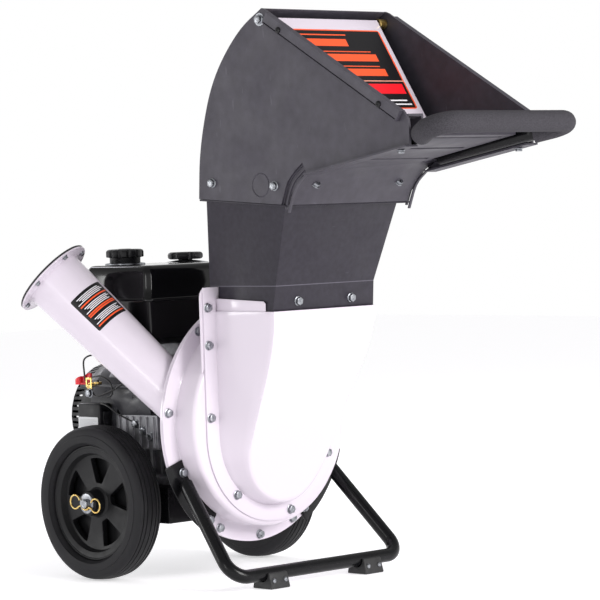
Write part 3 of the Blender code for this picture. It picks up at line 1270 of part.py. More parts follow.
WHITE_COAT = material("white powder coat", WHITE, 0.35)
BLACK_PAINT = material("black gloss paint", BLACK_GLOSS, 0.25)
HOPPER_PLASTIC = material("textured black plastic", BLACK_PLASTIC, 0.6)
HUB_PLASTIC = material("moulded hub plastic", BLACK_PLASTIC, 0.5)
TYRE = material("tyre rubber", RUBBER, 0.8)
RUBBER_BLACK = material("black rubber", RUBBER, 0.7)
FOAM = material("grip foam", BLACK_PLASTIC, 0.9)
PLATING = material("bright zinc", ZINC, 0.35, 1.0)
CLIP_PLATING = material("yellow zinc", YELLOW_ZINC, 0.35, 1.0)
CAST = material("cast aluminium", ALUMINIUM, 0.5, 1.0)
BARE_STEEL = material("bare steel", STEEL, 0.4, 1.0)
RED_PLASTIC = material("red plastic", RED, 0.4)
BLACK_CASE = material("black case plastic", BLACK_GLOSS, 0.45)

running_gear()
frame_base()
stand()
chamber()
back_plate()
branch_chute()
feed_duct()
duct_back()
discharge()
neck()
ROD_Y, ROD_Z = hopper()
baffle(ROD_Y, ROD_Z)
mouth_rod(ROD_Y, ROD_Z)
handle()
rotor()
crankcase()
oil_plug()
cylinder()
fuel_tank()
air_cleaner()
carburettor()
muffler()
fan_shroud()
recoil_cover()
controls()
settle()
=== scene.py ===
# Garden shredder with a petrol engine: a white sheet-steel knife housing on two wheels and a tube stand,
# fed from a tall plastic hopper above and from a slanting branch chute at its side.

import contextlib
import math

import bpy
from mathutils import Matrix, Vector


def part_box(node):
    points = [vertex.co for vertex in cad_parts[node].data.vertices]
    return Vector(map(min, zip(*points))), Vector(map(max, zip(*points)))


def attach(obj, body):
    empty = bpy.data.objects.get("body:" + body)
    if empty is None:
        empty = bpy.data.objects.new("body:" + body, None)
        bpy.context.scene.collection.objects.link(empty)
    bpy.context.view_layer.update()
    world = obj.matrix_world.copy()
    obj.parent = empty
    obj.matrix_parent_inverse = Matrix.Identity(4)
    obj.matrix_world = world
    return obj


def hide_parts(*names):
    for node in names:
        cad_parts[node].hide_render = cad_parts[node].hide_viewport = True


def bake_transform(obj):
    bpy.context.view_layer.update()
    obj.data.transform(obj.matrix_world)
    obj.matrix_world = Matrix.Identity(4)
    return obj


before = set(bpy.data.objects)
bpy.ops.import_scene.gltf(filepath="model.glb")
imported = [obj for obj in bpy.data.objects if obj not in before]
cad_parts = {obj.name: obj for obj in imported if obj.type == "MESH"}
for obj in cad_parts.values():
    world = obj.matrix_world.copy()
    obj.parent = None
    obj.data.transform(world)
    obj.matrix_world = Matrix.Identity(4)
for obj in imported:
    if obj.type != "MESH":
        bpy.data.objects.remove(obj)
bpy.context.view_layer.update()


# Layout. All places below are measured as on the workshop drawing: x from the shaft, y from the front face
# of the housing's bolt flange, z from the ground. The frame's housing says where that point is.
FLANGE_SHEET = 0.003
SHAFT_Z = 0.262
housing_low, housing_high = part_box("housing_shell")
DRAWING_ORIGIN = Vector(((housing_low.x + housing_high.x) / 2, housing_high.y - FLANGE_SHEET, 0.0))
ALONG_X = Vector((1, 0, 0))
ALONG_Y = Vector((0, 1, 0))
ALONG_Z = Vector((0, 0, 1))


def at(x, y, z):
    """A point of the drawing, in the frame's metres."""
    return DRAWING_ORIGIN + Vector((x, y, z))


# Camera: a long lens well away from the machine, a little above the wheels' height and turned to its front
# left corner, held with a slight roll.
CAMERA_PLACE = at(-3.5777, -3.6663, 0.6356)
CAMERA_TURN = math.radians(44.7475)
CAMERA_PITCH = math.radians(1.9706)
CAMERA_ROLL = math.radians(-1.7954)
CAMERA_LENS_MM = 183.17
CAMERA_SENSOR_MM = 36.0
bpy.ops.object.camera_add(location=CAMERA_PLACE)
camera = bpy.context.active_object
camera.name = "photo_camera"
look = Vector((
    math.cos(CAMERA_TURN) * math.cos(CAMERA_PITCH), math.sin(CAMERA_TURN) * math.cos(CAMERA_PITCH),
    -math.sin(CAMERA_PITCH),
))
level = Vector((math.sin(CAMERA_TURN), -math.cos(CAMERA_TURN), 0))
upright = level.cross(look)
right = level * math.cos(CAMERA_ROLL) + upright * math.sin(CAMERA_ROLL)
above = upright * math.cos(CAMERA_ROLL) - level * math.sin(CAMERA_ROLL)
camera.matrix_world = Matrix.Translation(CAMERA_PLACE) @ Matrix((right, above, -look)).transposed().to_4x4()
camera.data.lens = CAMERA_LENS_MM
camera.data.sensor_width = CAMERA_SENSOR_MM
bpy.context.scene.camera = camera


# Finishes start here, in the first place that needs one: the studio floor. It is a sheet of matt opal acrylic
# lit faintly from below, so that the machine throws hardly any shadow on it.
FLOOR_SIZE = 16.0
FLOOR_DROP = 0.0005
FLOOR_GLOW = 0.5


def colour(text):
    """A colour written as on a paint card, turned to the linear values that a shader takes."""
    shares = [int(text[i:i + 2], 16) / 255 for i in (1, 3, 5)]
    linear = [s / 12.92 if s <= 0.04045 else ((s + 0.055) / 1.055) ** 2.4 for s in shares]
    return (*linear, 1.0)


def add(tree, kind, sockets, **settings):
    """Add a shader node with its settings; a socket is given a value, or another socket to be linked to."""
    made = tree.nodes.new("ShaderNode" + kind)
    for name, value in settings.items():
        setattr(made, name, value)
    for name, value in sockets.items():
        if isinstance(value, bpy.types.NodeSocket):
            tree.links.new(value, made.inputs[name])
        else:
            made.inputs[name].default_value = value
    return made


def new_finish(name, slot, base, roughness, metallic=0.0, **sockets):
    """Start a finish from its plain colour and gloss. Gives back the material, its tree and its shader."""
    finish = bpy.data.materials.new(name)
    finish.use_nodes = True
    tree = finish.node_tree
    shader = tree.nodes["Principled BSDF"]
    shader.inputs["Base Color"].default_value = colour(base)
    shader.inputs["Roughness"].default_value = roughness
    shader.inputs["Metallic"].default_value = metallic
    for socket, value in sockets.items():
        shader.inputs[socket.replace("_", " ")].default_value = value
    return finish, tree, shader


def grain(tree, size_mm, detail=3.0):
    """Noise whose blotches are about size_mm across on the real piece."""
    place = add(tree, "TexCoord", {})
    sockets = {"Vector": place.outputs["Object"], "Scale": 1000.0 / size_mm, "Detail": detail}
    return add(tree, "TexNoise", sockets)


def roughen(tree, shader, height, depth_mm, strength=1.0):
    """Raise the surface by depth_mm where height is 1."""
    bump = add(tree, "Bump", {"Height": height, "Distance": depth_mm / 1000.0, "Strength": strength})
    tree.links.new(bump.outputs["Normal"], shader.inputs["Normal"])


def vary(tree, source, socket, low, high, start=0.3, end=0.7):
    """Spread a source between two values and link it to a number socket."""
    spread = add(tree, "MapRange", {
        "Value": source, "From Min": start, "From Max": end, "To Min": low, "To Max": high,
    })
    tree.links.new(spread.outputs["Result"], socket)


def tint(tree, source, socket, stops):
    """Turn a source into colour stops, each a place from 0 to 1 and a colour, and link it."""
    ramp = add(tree, "ValToRGB", {"Fac": source})
    marks = ramp.color_ramp.elements
    while len(marks) < len(stops):
        marks.new(0.5)
    for mark, (place, text) in zip(marks, stops):
        mark.position = place
        mark.color = colour(text)
    tree.links.new(ramp.outputs["Color"], socket)
    return ramp


opal_floor, tree, shader = new_finish(
    "matt opal acrylic lit from below", None, "#F2F1F4", 0.9, Emission_Strength=FLOOR_GLOW)
shader.inputs["Emission Color"].default_value = colour("#FFFFFF")
roughen(tree, shader, grain(tree, 8.0).outputs["Fac"], 0.05)
bpy.ops.mesh.primitive_plane_add(size=FLOOR_SIZE, location=at(0, 0, -FLOOR_DROP))
floor = bpy.context.active_object
floor.name = "studio_floor"
floor.data.materials.append(opal_floor)


# Light: white walls under a grey ceiling, a big soft box ahead of the machine on its right, two weak ones on
# the left and one behind. The exposure lets the housing's front burn out, as in a catalogue photograph.
ROOM_STRENGTH = 1.0
WALL_TOP = 0.20
CEILING_START = 0.50
CEILING_SHARE = 0.44
MACHINE_MIDDLE = at(0, 0, 0.45)
SOFT_BOXES = (
    ("key_box", at(0.5, -3.6, 1.7), (1.6, 1.6), 115, "#FFFDFD"),
    ("left_box", at(-3.0, -0.6, 0.75), (0.40, 1.3), 11, "#FFFFFF"),
    ("left_rear_box", at(-2.3, 2.45, 0.65), (0.7, 0.7), 12, "#FFFFFF"),
    ("rim_box", at(0.6, 3.2, 2.2), (0.6, 1.6), 20, "#F8F6FF"),
)
bpy.context.scene.view_settings.view_transform = "Standard"
room = bpy.context.scene.world or bpy.data.worlds.new("white_room")
bpy.context.scene.world = room
room.use_nodes = True
room_tree = room.node_tree
room_tree.nodes["Background"].inputs["Strength"].default_value = ROOM_STRENGTH
sky = add(room_tree, "TexCoord", {})
height = add(room_tree, "SeparateXYZ", {"Vector": sky.outputs["Generated"]})
ceiling = add(room_tree, "MapRange", {
    "Value": height.outputs["Z"], "From Min": WALL_TOP, "From Max": CEILING_START,
    "To Min": 1.0, "To Max": CEILING_SHARE,
})
room_tree.links.new(ceiling.outputs["Result"], room_tree.nodes["Background"].inputs["Color"])
for name, place, size, watts, tone in SOFT_BOXES:
    bpy.ops.object.light_add(type="AREA", location=place)
    lamp = bpy.context.active_object
    lamp.name = name
    lamp.data.shape = "RECTANGLE"
    lamp.data.size, lamp.data.size_y = size
    lamp.data.energy = watts
    lamp.data.color = colour(tone)[:3]
    lamp.rotation_euler = (MACHINE_MIDDLE - place).to_track_quat("-Z", "Y").to_euler()


# Wheels: a solid tyre of black rubber pressed on a moulded plastic hub with five wedge-shaped windows. The
# rubber is moulded, so it is dull and even, with grooves round the tread and two steps in each side wall.
WHEEL_RADIUS = 0.130
SIDES = (("left", -1), ("right", 1))
WHEEL_X = 0.184
AXLE_Y = 0.186
TYRE_HALF = 0.028
RIM_RADIUS = 0.0965
GROOVE = 0.0016
GROOVE_PLACES = (-0.0165, -0.0095, 0.0, 0.0095, 0.0165)
SPOKES = 5
SPOKE_TURN = math.radians(7.7)
WINDOW_HALF = math.radians(19.5)
HUB_WEB = 0.005
HUB_BOSS = 0.021
HUB_BOSS_END = 0.0290
HUB_BORE = 0.0083
HUB_BACK = -0.0130
HUB_BACK_SHEET = 0.0015
HUB_BACK_HOLE = 0.0215
MERGE = 0.00002


def pick_only(piece):
    """Make the piece the only selected object."""
    bpy.ops.object.select_all(action="DESELECT")
    piece.select_set(True)
    bpy.context.view_layer.objects.active = piece


@contextlib.contextmanager
def editing(piece, action="SELECT"):
    """Work on the piece's mesh in edit mode, starting with all of it selected, or none."""
    pick_only(piece)
    bpy.ops.object.mode_set(mode="EDIT")
    bpy.ops.mesh.select_all(action=action)
    yield
    bpy.ops.object.mode_set(mode="OBJECT")


def select_none(piece):
    """Leave nothing of the piece's mesh selected."""
    with editing(piece, "DESELECT"):
        pass


def draw_line(name, points, close=False):
    """Start a piece as one vertex and extrude it from point to point."""
    bpy.ops.mesh.primitive_plane_add(size=0.001, location=points[0])
    piece = bpy.context.active_object
    piece.name = name
    bpy.ops.object.transform_apply(location=True)
    with editing(piece):
        bpy.ops.mesh.merge(type="CENTER")
        for here, there in zip(points, points[1:]):
            bpy.ops.mesh.extrude_vertices_move(TRANSFORM_OT_translate={"value": Vector(there) - Vector(here)})
        if close:
            bpy.ops.mesh.select_all(action="SELECT")
            bpy.ops.mesh.edge_face_add()
    return piece


def clean(piece):
    """Merge doubled corners and turn all faces outwards."""
    with editing(piece):
        bpy.ops.mesh.remove_doubles(threshold=MERGE)
        bpy.ops.mesh.normals_make_consistent(inside=False)
    return piece


def turned(name, profile, centre, axis, steps=96):
    """Spin (along, radius) points round an axis. A profile that starts off the axis is closed to a ring."""
    axis = axis.normalized()
    side = axis.orthogonal().normalized()
    ring = profile[:1] if profile[0][1] > 0 else []
    points = [centre + axis * along + side * radius for along, radius in profile + ring]
    piece = draw_line(name, points)
    with editing(piece):
        bpy.ops.mesh.spin(steps=steps, angle=2 * math.pi, center=centre, axis=axis)
    return clean(piece)


def facing(profile, sign):
    """A turned profile as it is on the right side, or swapped end for end for the left."""
    return [(along * sign, radius) for along, radius in profile]


def pin(name, start, end, radius, centre, axis, steps):
    """A plain round rod along the axis through centre."""
    return turned(name, [(start, 0), (start, radius), (end, radius), (end, 0)], centre, axis, steps)


def pressed(name, outline, push):
    """Fill a flat outline and extrude it by push."""
    piece = draw_line(name, outline, close=True)
    with editing(piece):
        bpy.ops.mesh.extrude_region_move(TRANSFORM_OT_translate={"value": push})
    return clean(piece)


def block(name, low, high):
    """A box between two corners."""
    bpy.ops.mesh.primitive_cube_add(size=1.0, location=(low + high) / 2)
    piece = bpy.context.active_object
    piece.name = name
    piece.scale = high - low
    bpy.ops.object.transform_apply(location=True, scale=True)
    return piece


def apply_all(piece):
    """Apply the piece's modifiers."""
    pick_only(piece)
    for modifier in list(piece.modifiers):
        bpy.ops.object.modifier_apply(modifier=modifier.name)


def soften(piece, width, segments=3, angle=30):
    """Round the edges that are sharper than angle."""
    bevel = piece.modifiers.new("soft edges", "BEVEL")
    bevel.width = width
    bevel.segments = segments
    bevel.limit_method = "ANGLE"
    bevel.angle_limit = math.radians(angle)
    bevel.harden_normals = False
    apply_all(piece)
    return piece


def cut(piece, tool, operation="DIFFERENCE"):
    """Cut a tool piece out of this one, or join it, and throw the tool away."""
    change = piece.modifiers.new("cut", "BOOLEAN")
    change.operation = operation
    change.solver = "EXACT"
    change.object = tool
    apply_all(piece)
    bpy.data.objects.remove(tool, do_unlink=True)
    return piece


def turn_copy(piece, name, angle, centre, axis):
    """A copy with its own mesh, turned about an axis through centre."""
    made = piece.copy()
    made.data = piece.data.copy()
    made.name = name
    bpy.context.scene.collection.objects.link(made)
    place = Matrix.Translation(centre)
    made.data.transform(place @ Matrix.Rotation(angle, 4, axis) @ place.inverted())
    return made


def settle(piece, finish, node=None, body="chassis", angle=35):
    """Shade and coat the finished piece, fasten it to its body, and let it stand for its plain solid."""
    pick_only(piece)
    bpy.ops.object.transform_apply(location=True, rotation=True, scale=True)
    bpy.ops.object.shade_smooth_by_angle(angle=math.radians(angle))
    piece.data.materials.clear()
    piece.data.materials.append(finish)
    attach(piece, body)
    if node:
        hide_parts(node)
    return piece


def clouded(name, slot, base, roughness, cloud, gloss, tones=(), skin=(), metallic=0.0, **sockets):
    """A finish whose gloss and tones drift in clouds (size, detail), on a skin (size, depth, strength)."""
    finish, tree, shader = new_finish(name, slot, base, roughness, metallic, **sockets)
    drift = grain(tree, *cloud).outputs["Fac"]
    if tones:
        tint(tree, drift, shader.inputs["Base Color"], tones)
    vary(tree, drift, shader.inputs["Roughness"], *gloss)
    if skin:
        size_mm, depth_mm, strength, *detail = skin
        roughen(tree, shader, grain(tree, size_mm, *detail).outputs["Fac"], depth_mm, strength)
    return finish


def arc(centre, radius, start, end, steps):
    """Points of an arc in a plane, as pairs."""
    turns = [start + (end - start) * i / steps for i in range(steps + 1)]
    return [(centre[0] + radius * math.cos(turn), centre[1] + radius * math.sin(turn)) for turn in turns]


tyre_rubber = clouded(
    "moulded tyre rubber", "tyre", "#1C1C1F", 0.62, cloud=(38.0, 5.0), gloss=(0.5, 0.72),
    tones=((0.35, "#19191B"), (0.75, "#252427")), skin=(0.9, 0.06, 0.5), Specular_IOR_Level=0.22)
hub_plastic = clouded(
    "moulded black nylon", "hub_plastic", "#121214", 0.36, cloud=(22.0,), gloss=(0.34, 0.5),
    skin=(1.2, 0.05, 0.35), Specular_IOR_Level=0.25)


def tyre_profile():
    """The tyre's section: stepped side walls and the grooved tread between them."""
    rim_steps = [
        (0.62, 0.0005), (0.80, 0.0010), (0.90, 0.0045), (0.97, 0.0050), (1.0, 0.0090), (0.985, 0.0170),
        (0.95, 0.0176),
    ]
    shoulder = [(0.93, 0.0090), (0.88, 0.0060), (0.80, 0.0034), (0.70, 0.0019)]
    wall = [(-TYRE_HALF * share, RIM_RADIUS + rise) for share, rise in rim_steps]
    wall += [(-TYRE_HALF * share, WHEEL_RADIUS - drop) for share, drop in shoulder]
    tread = []
    for place in GROOVE_PLACES:
        crown = WHEEL_RADIUS - 0.0017 * (place / 0.0165) ** 2 - 0.0001
        tread += [
            (place - 0.0011, crown), (place - 0.0007, crown - GROOVE), (place + 0.0007, crown - GROOVE),
            (place + 0.0011, crown),
        ]
    return wall + tread + [(-along, radius) for along, radius in wall[::-1]]


def hub_disc(name, centre, sign):
    """The hub's rim, thin web with five windows, ribs beside them, and the long boss on the axle."""
    half = TYRE_HALF * 0.60
    rim, web, boss = RIM_RADIUS, HUB_WEB, HUB_BOSS
    profile = [
        (half, rim), (half + 0.0012, rim - 0.001), (half + 0.0012, rim - 0.003), (half, rim - 0.004),
        (half * 0.9, rim - 0.013), (web, rim - 0.0165), (web, boss + 0.005), (web + 0.003, boss + 0.0015),
        (HUB_BOSS_END - 0.0015, boss - 0.0008), (HUB_BOSS_END, boss - 0.0025), (HUB_BOSS_END, HUB_BORE),
        (-half, HUB_BORE), (-half, boss), (-web, boss + 0.004), (-web, rim - 0.0165),
        (-half * 0.9, rim - 0.013), (-half, rim - 0.004), (-half, rim),
    ]
    hub = turned(name, facing(profile, sign), centre, ALONG_X)
    for k in range(SPOKES):
        middle = SPOKE_TURN + 2 * math.pi * k / SPOKES
        outer = arc((0, 0), rim - 0.0215, middle - WINDOW_HALF, middle + WINDOW_HALF, 8)
        inner = arc((0, 0), boss + 0.0115, middle + WINDOW_HALF * 0.62, middle - WINDOW_HALF * 0.62, 4)
        outline = [centre + Vector((-0.03, -a, b)) for b, a in outer + inner]
        window = pressed("window", outline, ALONG_X * 0.06)
        cut(hub, soften(window, 0.0035, 3, 50))
    return soften(hub, 0.0006, 2, 40)


for side, sign in SIDES:
    centre = at(sign * WHEEL_X, AXLE_Y, WHEEL_RADIUS)
    tyre = turned("tyre_" + side, tyre_profile(), centre, ALONG_X, 128)
    settle(tyre, tyre_rubber, "tyre_" + side, side + "_wheel", angle=50)
    settle(hub_disc("hub_" + side, centre, sign), hub_plastic, "wheel_hub_" + side, side + "_wheel")
    rear, edge = HUB_BACK - HUB_BACK_SHEET, RIM_RADIUS - 0.0100
    disc = [(rear, HUB_BACK_HOLE), (rear, edge), (HUB_BACK, edge), (HUB_BACK, HUB_BACK_HOLE)]
    back = turned("hub_back_" + side, facing(disc, sign), centre, ALONG_X)
    settle(back, hub_plastic, body=side + "_wheel")


# Axle: a zinc-plated round bar with a pressed washer at each end, held by a bow-tie clip of yellow-plated
# wire that snaps round a groove. Zinc plate is bright and slightly blue, with fine rolling marks.
AXLE_RADIUS = 0.008
WASHER_START = 0.2133
WASHER_RADIUS = 0.0165
CLIP_WIRE = 0.0015
CLIP_LOOP = 0.0115
CLIP_REACH = 0.0255
CLIP_TILT = math.radians(-5)
AXLE_PAST_WASHER = 0.0080
CLIP_PAST_WASHER = 0.0038

bright_zinc = clouded(
    "bright zinc plate on steel", "plating", "#74767B", 0.22, cloud=(6.0,), gloss=(0.22, 0.42),
    tones=((0.3, "#76797F"), (0.7, "#A9ABAF")), skin=(0.7, 0.03, 0.4), metallic=1.0)
yellow_zinc = clouded(
    "yellow passivated zinc on wire", "yellow_plating", "#D9B663", 0.3, cloud=(5.0,), gloss=(0.22, 0.38),
    tones=((0.3, "#C99A45"), (0.55, "#E0C47C"), (0.8, "#D8CFA2")), metallic=1.0)


def tube(name, points, radius, closed=False, sides=6):
    """A round bar or wire along points: a curve with a round section, made into a mesh."""
    bpy.ops.curve.primitive_bezier_curve_add()
    line = bpy.context.active_object
    line.name = name
    line.location = (0, 0, 0)
    line.data.dimensions = "3D"
    line.data.splines.clear()
    spline = line.data.splines.new("POLY")
    spline.points.add(len(points) - 1)
    for mark, point in zip(spline.points, points):
        mark.co = (*point, 1.0)
    spline.use_cyclic_u = closed
    line.data.bevel_depth = radius
    line.data.bevel_resolution = sides
    line.data.use_fill_caps = not closed
    bpy.ops.object.convert(target="MESH")
    return clean(bpy.context.active_object)


def clip_points(x):
    """A loop, half a turn under the axle's end, and the other loop."""
    left = arc((-CLIP_REACH, 0.0), CLIP_LOOP, math.radians(20), math.radians(325), 24)
    under = arc((0.0, 0.0), AXLE_RADIUS + CLIP_WIRE * 1.5, math.radians(205), math.radians(335), 14)
    right = arc((CLIP_REACH, 0.0), CLIP_LOOP, math.radians(215), math.radians(520), 24)
    tilt = Matrix.Rotation(CLIP_TILT, 2)
    turned_points = [tilt @ Vector(point) for point in left + under + right]
    return [at(x, AXLE_Y - point.x, WHEEL_RADIUS + point.y) for point in turned_points]


end = WASHER_START + AXLE_PAST_WASHER
half_axle = [
    (WASHER_START, AXLE_RADIUS), (WASHER_START, WASHER_RADIUS),
    (WASHER_START + 0.0006, WASHER_RADIUS + 0.0003), (WASHER_START + 0.0014, WASHER_RADIUS),
    (WASHER_START + 0.0019, WASHER_RADIUS - 0.0018), (WASHER_START + 0.0016, AXLE_RADIUS + 0.0012),
    (WASHER_START + 0.0016, AXLE_RADIUS), (end, AXLE_RADIUS), (end + 0.0012, AXLE_RADIUS - 0.0016),
    (end + 0.0012, AXLE_RADIUS * 0.35), (end + 0.0004, 0.0),
]
axle_profile = facing(half_axle[::-1], -1) + half_axle
axle = turned("axle", axle_profile, at(0, AXLE_Y, WHEEL_RADIUS), ALONG_X, 48)
settle(axle, bright_zinc, "axle")
for side, sign in SIDES:
    wire = tube("axle_clip_wire_" + side, clip_points(sign * (WASHER_START + CLIP_PAST_WASHER)), CLIP_WIRE)
    settle(wire, yellow_zinc, "axle_clip_" + side, angle=60)


# Frame and stand: the base is folded sheet, the stand one bent tube in two brackets, all in black gloss
# paint baked on the steel. The feet are rubber blocks that clip round the tube, each held by two screws.
STAND_RADIUS = 0.0115
STAND_HALF_TOP = 0.1701
STAND_HALF_FOOT = 0.199
STAND_Y = -0.145
STAND_BAR_Z = 0.0235
STAND_TOP_Z = SHAFT_Z - 0.0939
STAND_BEND = 0.030
FLANGE_RADIUS = 0.205
CHAMBER_RADIUS = 0.177
BRACKET_FRONT = -0.0033
BRACKET_SHEET = 0.003
BRACKET_FROM = math.radians(198)
BRACKET_TO = math.radians(238)
FOOT_X = 0.111
FOOT_HALF = 0.0222
FOOT_TOP = 0.0262
FOOT_SEAT = 0.0128

black_gloss = clouded(
    "black stoving enamel on steel", "black_paint", "#0C0C0E", 0.16, cloud=(30.0,), gloss=(0.16, 0.28),
    skin=(2.4, 0.06, 0.25), Specular_IOR_Level=0.22)
foot_rubber = clouded("moulded black rubber", "rubber", "#1B1B1C", 0.6, cloud=(9.0,), gloss=(0.5, 0.7))


def rounded(points, radii, steps=14):
    """Replace the inner corners of a path by arcs."""
    points = [Vector(point) for point in points]
    path = [points[0]]
    for before, corner, after, radius in zip(points, points[1:], points[2:], radii):
        back = (before - corner).normalized()
        ahead = (after - corner).normalized()
        half = back.angle(ahead) / 2
        reach = radius / math.tan(half)
        start, end = corner + back * reach, corner + ahead * reach
        centre = corner + (back + ahead).normalized() * (radius / math.sin(half))
        for i in range(steps + 1):
            turn = (start - centre).normalized().slerp((end - centre).normalized(), i / steps)
            path.append(centre + turn.normalized() * radius)
    path.append(points[-1])
    return path


def refined(node, name, width, segments=2, angle=25, flat=1.0):
    """A copy of a plain solid with its corners merged and its edges rounded."""
    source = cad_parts[node]
    piece = source.copy()
    piece.data = source.data.copy()
    piece.parent = None
    piece.name = name
    for key in list(piece.keys()):
        del piece[key]
    bpy.context.scene.collection.objects.link(piece)
    with editing(piece):
        bpy.ops.mesh.remove_doubles(threshold=MERGE)
        bpy.ops.mesh.dissolve_limited(angle_limit=math.radians(flat))
    if width:
        soften(piece, width, segments, angle)
    return piece


slope = Vector((0, -STAND_Y, STAND_TOP_Z - STAND_BAR_Z)).normalized()
leg_y = BRACKET_FRONT - 0.0003 - STAND_RADIUS * slope.z
corners = [
    at(-STAND_HALF_TOP, leg_y, STAND_TOP_Z), at(-STAND_HALF_FOOT, STAND_Y, STAND_BAR_Z),
    at(STAND_HALF_FOOT, STAND_Y, STAND_BAR_Z), at(STAND_HALF_TOP, leg_y, STAND_TOP_Z),
]
legs = tube("stand_legs", rounded(corners, [STAND_BEND, STAND_BEND]), STAND_RADIUS, sides=10)
settle(legs, black_gloss, "stand_tube", angle=60)

for side, sign in (("left", 1), ("right", -1)):
    outline = arc((0, SHAFT_Z), FLANGE_RADIUS + 0.011, BRACKET_FROM, BRACKET_TO, 24)
    outline += arc((0, SHAFT_Z), CHAMBER_RADIUS + 0.0004, BRACKET_TO, BRACKET_FROM, 24)
    face = [at(x * sign, -0.0003, z) for x, z in outline]
    sheet = pressed("bracket_" + side, face, ALONG_Y * -BRACKET_SHEET)
    soften(sheet, 0.0007, 2)
    settle(sheet, black_gloss, "stand_bracket_" + side)

box_sheet = refined("frame_base", "engine_frame", 0.0008)
settle(box_sheet, black_gloss, "frame_base")

for side, sign in SIDES:
    low = at(sign * FOOT_X - FOOT_HALF, STAND_Y - FOOT_HALF, 0.0)
    high = at(sign * FOOT_X + FOOT_HALF, STAND_Y + FOOT_HALF, FOOT_TOP)
    foot = block("foot_" + side, low, high)
    select_none(foot)
    for face in foot.data.polygons:
        face.select = face.normal.z > 0.9
    bpy.ops.object.mode_set(mode="EDIT")
    bpy.ops.transform.resize(value=(0.94, 0.72, 1.0))
    bpy.ops.object.mode_set(mode="OBJECT")
    soften(foot, 0.0022, 3)
    cut(foot, pin("seat", -0.04, 0.04, FOOT_SEAT, at(sign * FOOT_X, STAND_Y, STAND_BAR_Z), ALONG_X, 40))
    settle(foot, foot_rubber, "stand_foot_" + side)


# Housing: a deep-drawn ring flange with a round wall, bolted through its rim to a thicker back plate. Both
# are sheet steel in white powder coat, which shows a faint orange peel and goes lavender in shade.
FLANGE_REAR = 0.003
PLATE_FRONT = 0.0033
PLATE_REAR = 0.0083
PLATE_BORE = 0.0245
CHAMBER_FRONT = -0.044
CHAMBER_EDGE = 0.008
SHELL_BORE = 0.174
DUCT_HOLE = 0.115
DUCT_CENTRE_Z = SHAFT_Z - 0.018
OUTLET_LOW = (0.10, -0.038, 0.314)
OUTLET_HIGH = (0.19, -0.006, 0.391)
SHAFT_PLACE = at(0, 0, SHAFT_Z)

white_coat = clouded(
    "white powder coat on sheet steel", "white_coat", "#D4CBD6", 0.2, cloud=(120.0, 1.0), gloss=(0.16, 0.22),
    skin=(1.7, 0.05, 0.3))

edge = [(CHAMBER_FRONT + CHAMBER_EDGE * (1 - math.cos(t)), CHAMBER_RADIUS - CHAMBER_EDGE * (1 - math.sin(t)))
        for t in [math.pi / 2 * i / 6 for i in range(7)]]
shell_profile = [
    (FLANGE_REAR, FLANGE_RADIUS - 0.0005), (FLANGE_REAR - 0.0005, FLANGE_RADIUS), (0.0005, FLANGE_RADIUS),
    (0.0, FLANGE_RADIUS - 0.0005), (0.0, CHAMBER_RADIUS + 0.0030), (-0.0009, CHAMBER_RADIUS + 0.0009),
    (-0.0030, CHAMBER_RADIUS),
]
shell_profile += edge[::-1] + [
    (CHAMBER_FRONT, DUCT_HOLE / 2), (CHAMBER_FRONT + FLANGE_SHEET, DUCT_HOLE / 2),
    (CHAMBER_FRONT + FLANGE_SHEET, SHELL_BORE - 0.006), (CHAMBER_FRONT + FLANGE_SHEET + 0.006, SHELL_BORE),
    (FLANGE_REAR, SHELL_BORE),
]
shell = turned("knife_housing", shell_profile, SHAFT_PLACE, ALONG_Y, 144)
cut(shell, pin("feed_hole", -0.03, 0.03, DUCT_HOLE, at(0, CHAMBER_FRONT, DUCT_CENTRE_Z), ALONG_Y, 96))
cut(shell, block("outlet", at(*OUTLET_LOW), at(*OUTLET_HIGH)))
settle(shell, white_coat, "housing_shell", angle=30)

plate_profile = [
    (PLATE_FRONT, PLATE_BORE), (PLATE_FRONT, FLANGE_RADIUS - 0.0006), (PLATE_FRONT + 0.0006, FLANGE_RADIUS),
    (PLATE_REAR - 0.0006, FLANGE_RADIUS), (PLATE_REAR, FLANGE_RADIUS - 0.0006), (PLATE_REAR, PLATE_BORE),
]
plate = turned("housing_back", plate_profile, SHAFT_PLACE, ALONG_Y, 144)


# Branch chute: a slightly tapered tube welded to the back plate, with a pressed ring at its mouth. A black
# rubber disc with a hole and eight slits is held on the ring, and a plain striped label lies on the tube.
CHUTE_START = at(-0.142, PLATE_REAR + 0.0003, 0.2894)
CHUTE_DIRECTION = Vector((-0.325, 0.646, 0.692)).normalized()
CHUTE_LENGTH = 0.317
CHUTE_ROOT = 0.042
CHUTE_MOUTH = 0.0515
CHUTE_WALL = 0.002
CHUTE_BEYOND = 0.07
CHUTE_RIM = 0.0713
RIM_SHEET = 0.0025
CURTAIN_START = CHUTE_LENGTH + RIM_SHEET + 0.0003
CURTAIN_END = CURTAIN_START + 0.003
CURTAIN_HOLE = 0.030
SLITS = 8
SLIT_NEAR = 0.026
SLIT_FAR = 0.056
SLIT_TURN = 0.0005 / 0.04
WELD_STEPS = 72
CHUTE_SIDE = CHUTE_DIRECTION.cross(ALONG_Y).normalized()
CHUTE_UP = CHUTE_DIRECTION.cross(CHUTE_SIDE)


def chute_radius(along):
    """Outer radius of the tapered tube."""
    return CHUTE_ROOT + (CHUTE_MOUTH - CHUTE_ROOT) * along / CHUTE_LENGTH


def chute_point(along, radius, turn):
    """A point round the chute's axis."""
    across = CHUTE_SIDE * math.cos(turn) + CHUTE_UP * math.sin(turn)
    return CHUTE_START + CHUTE_DIRECTION * along + across * radius


cut(plate, pin("bore", -0.08, 0.08, CHUTE_ROOT - CHUTE_WALL, CHUTE_START, CHUTE_DIRECTION, 64))
settle(plate, white_coat, "back_plate", angle=30)

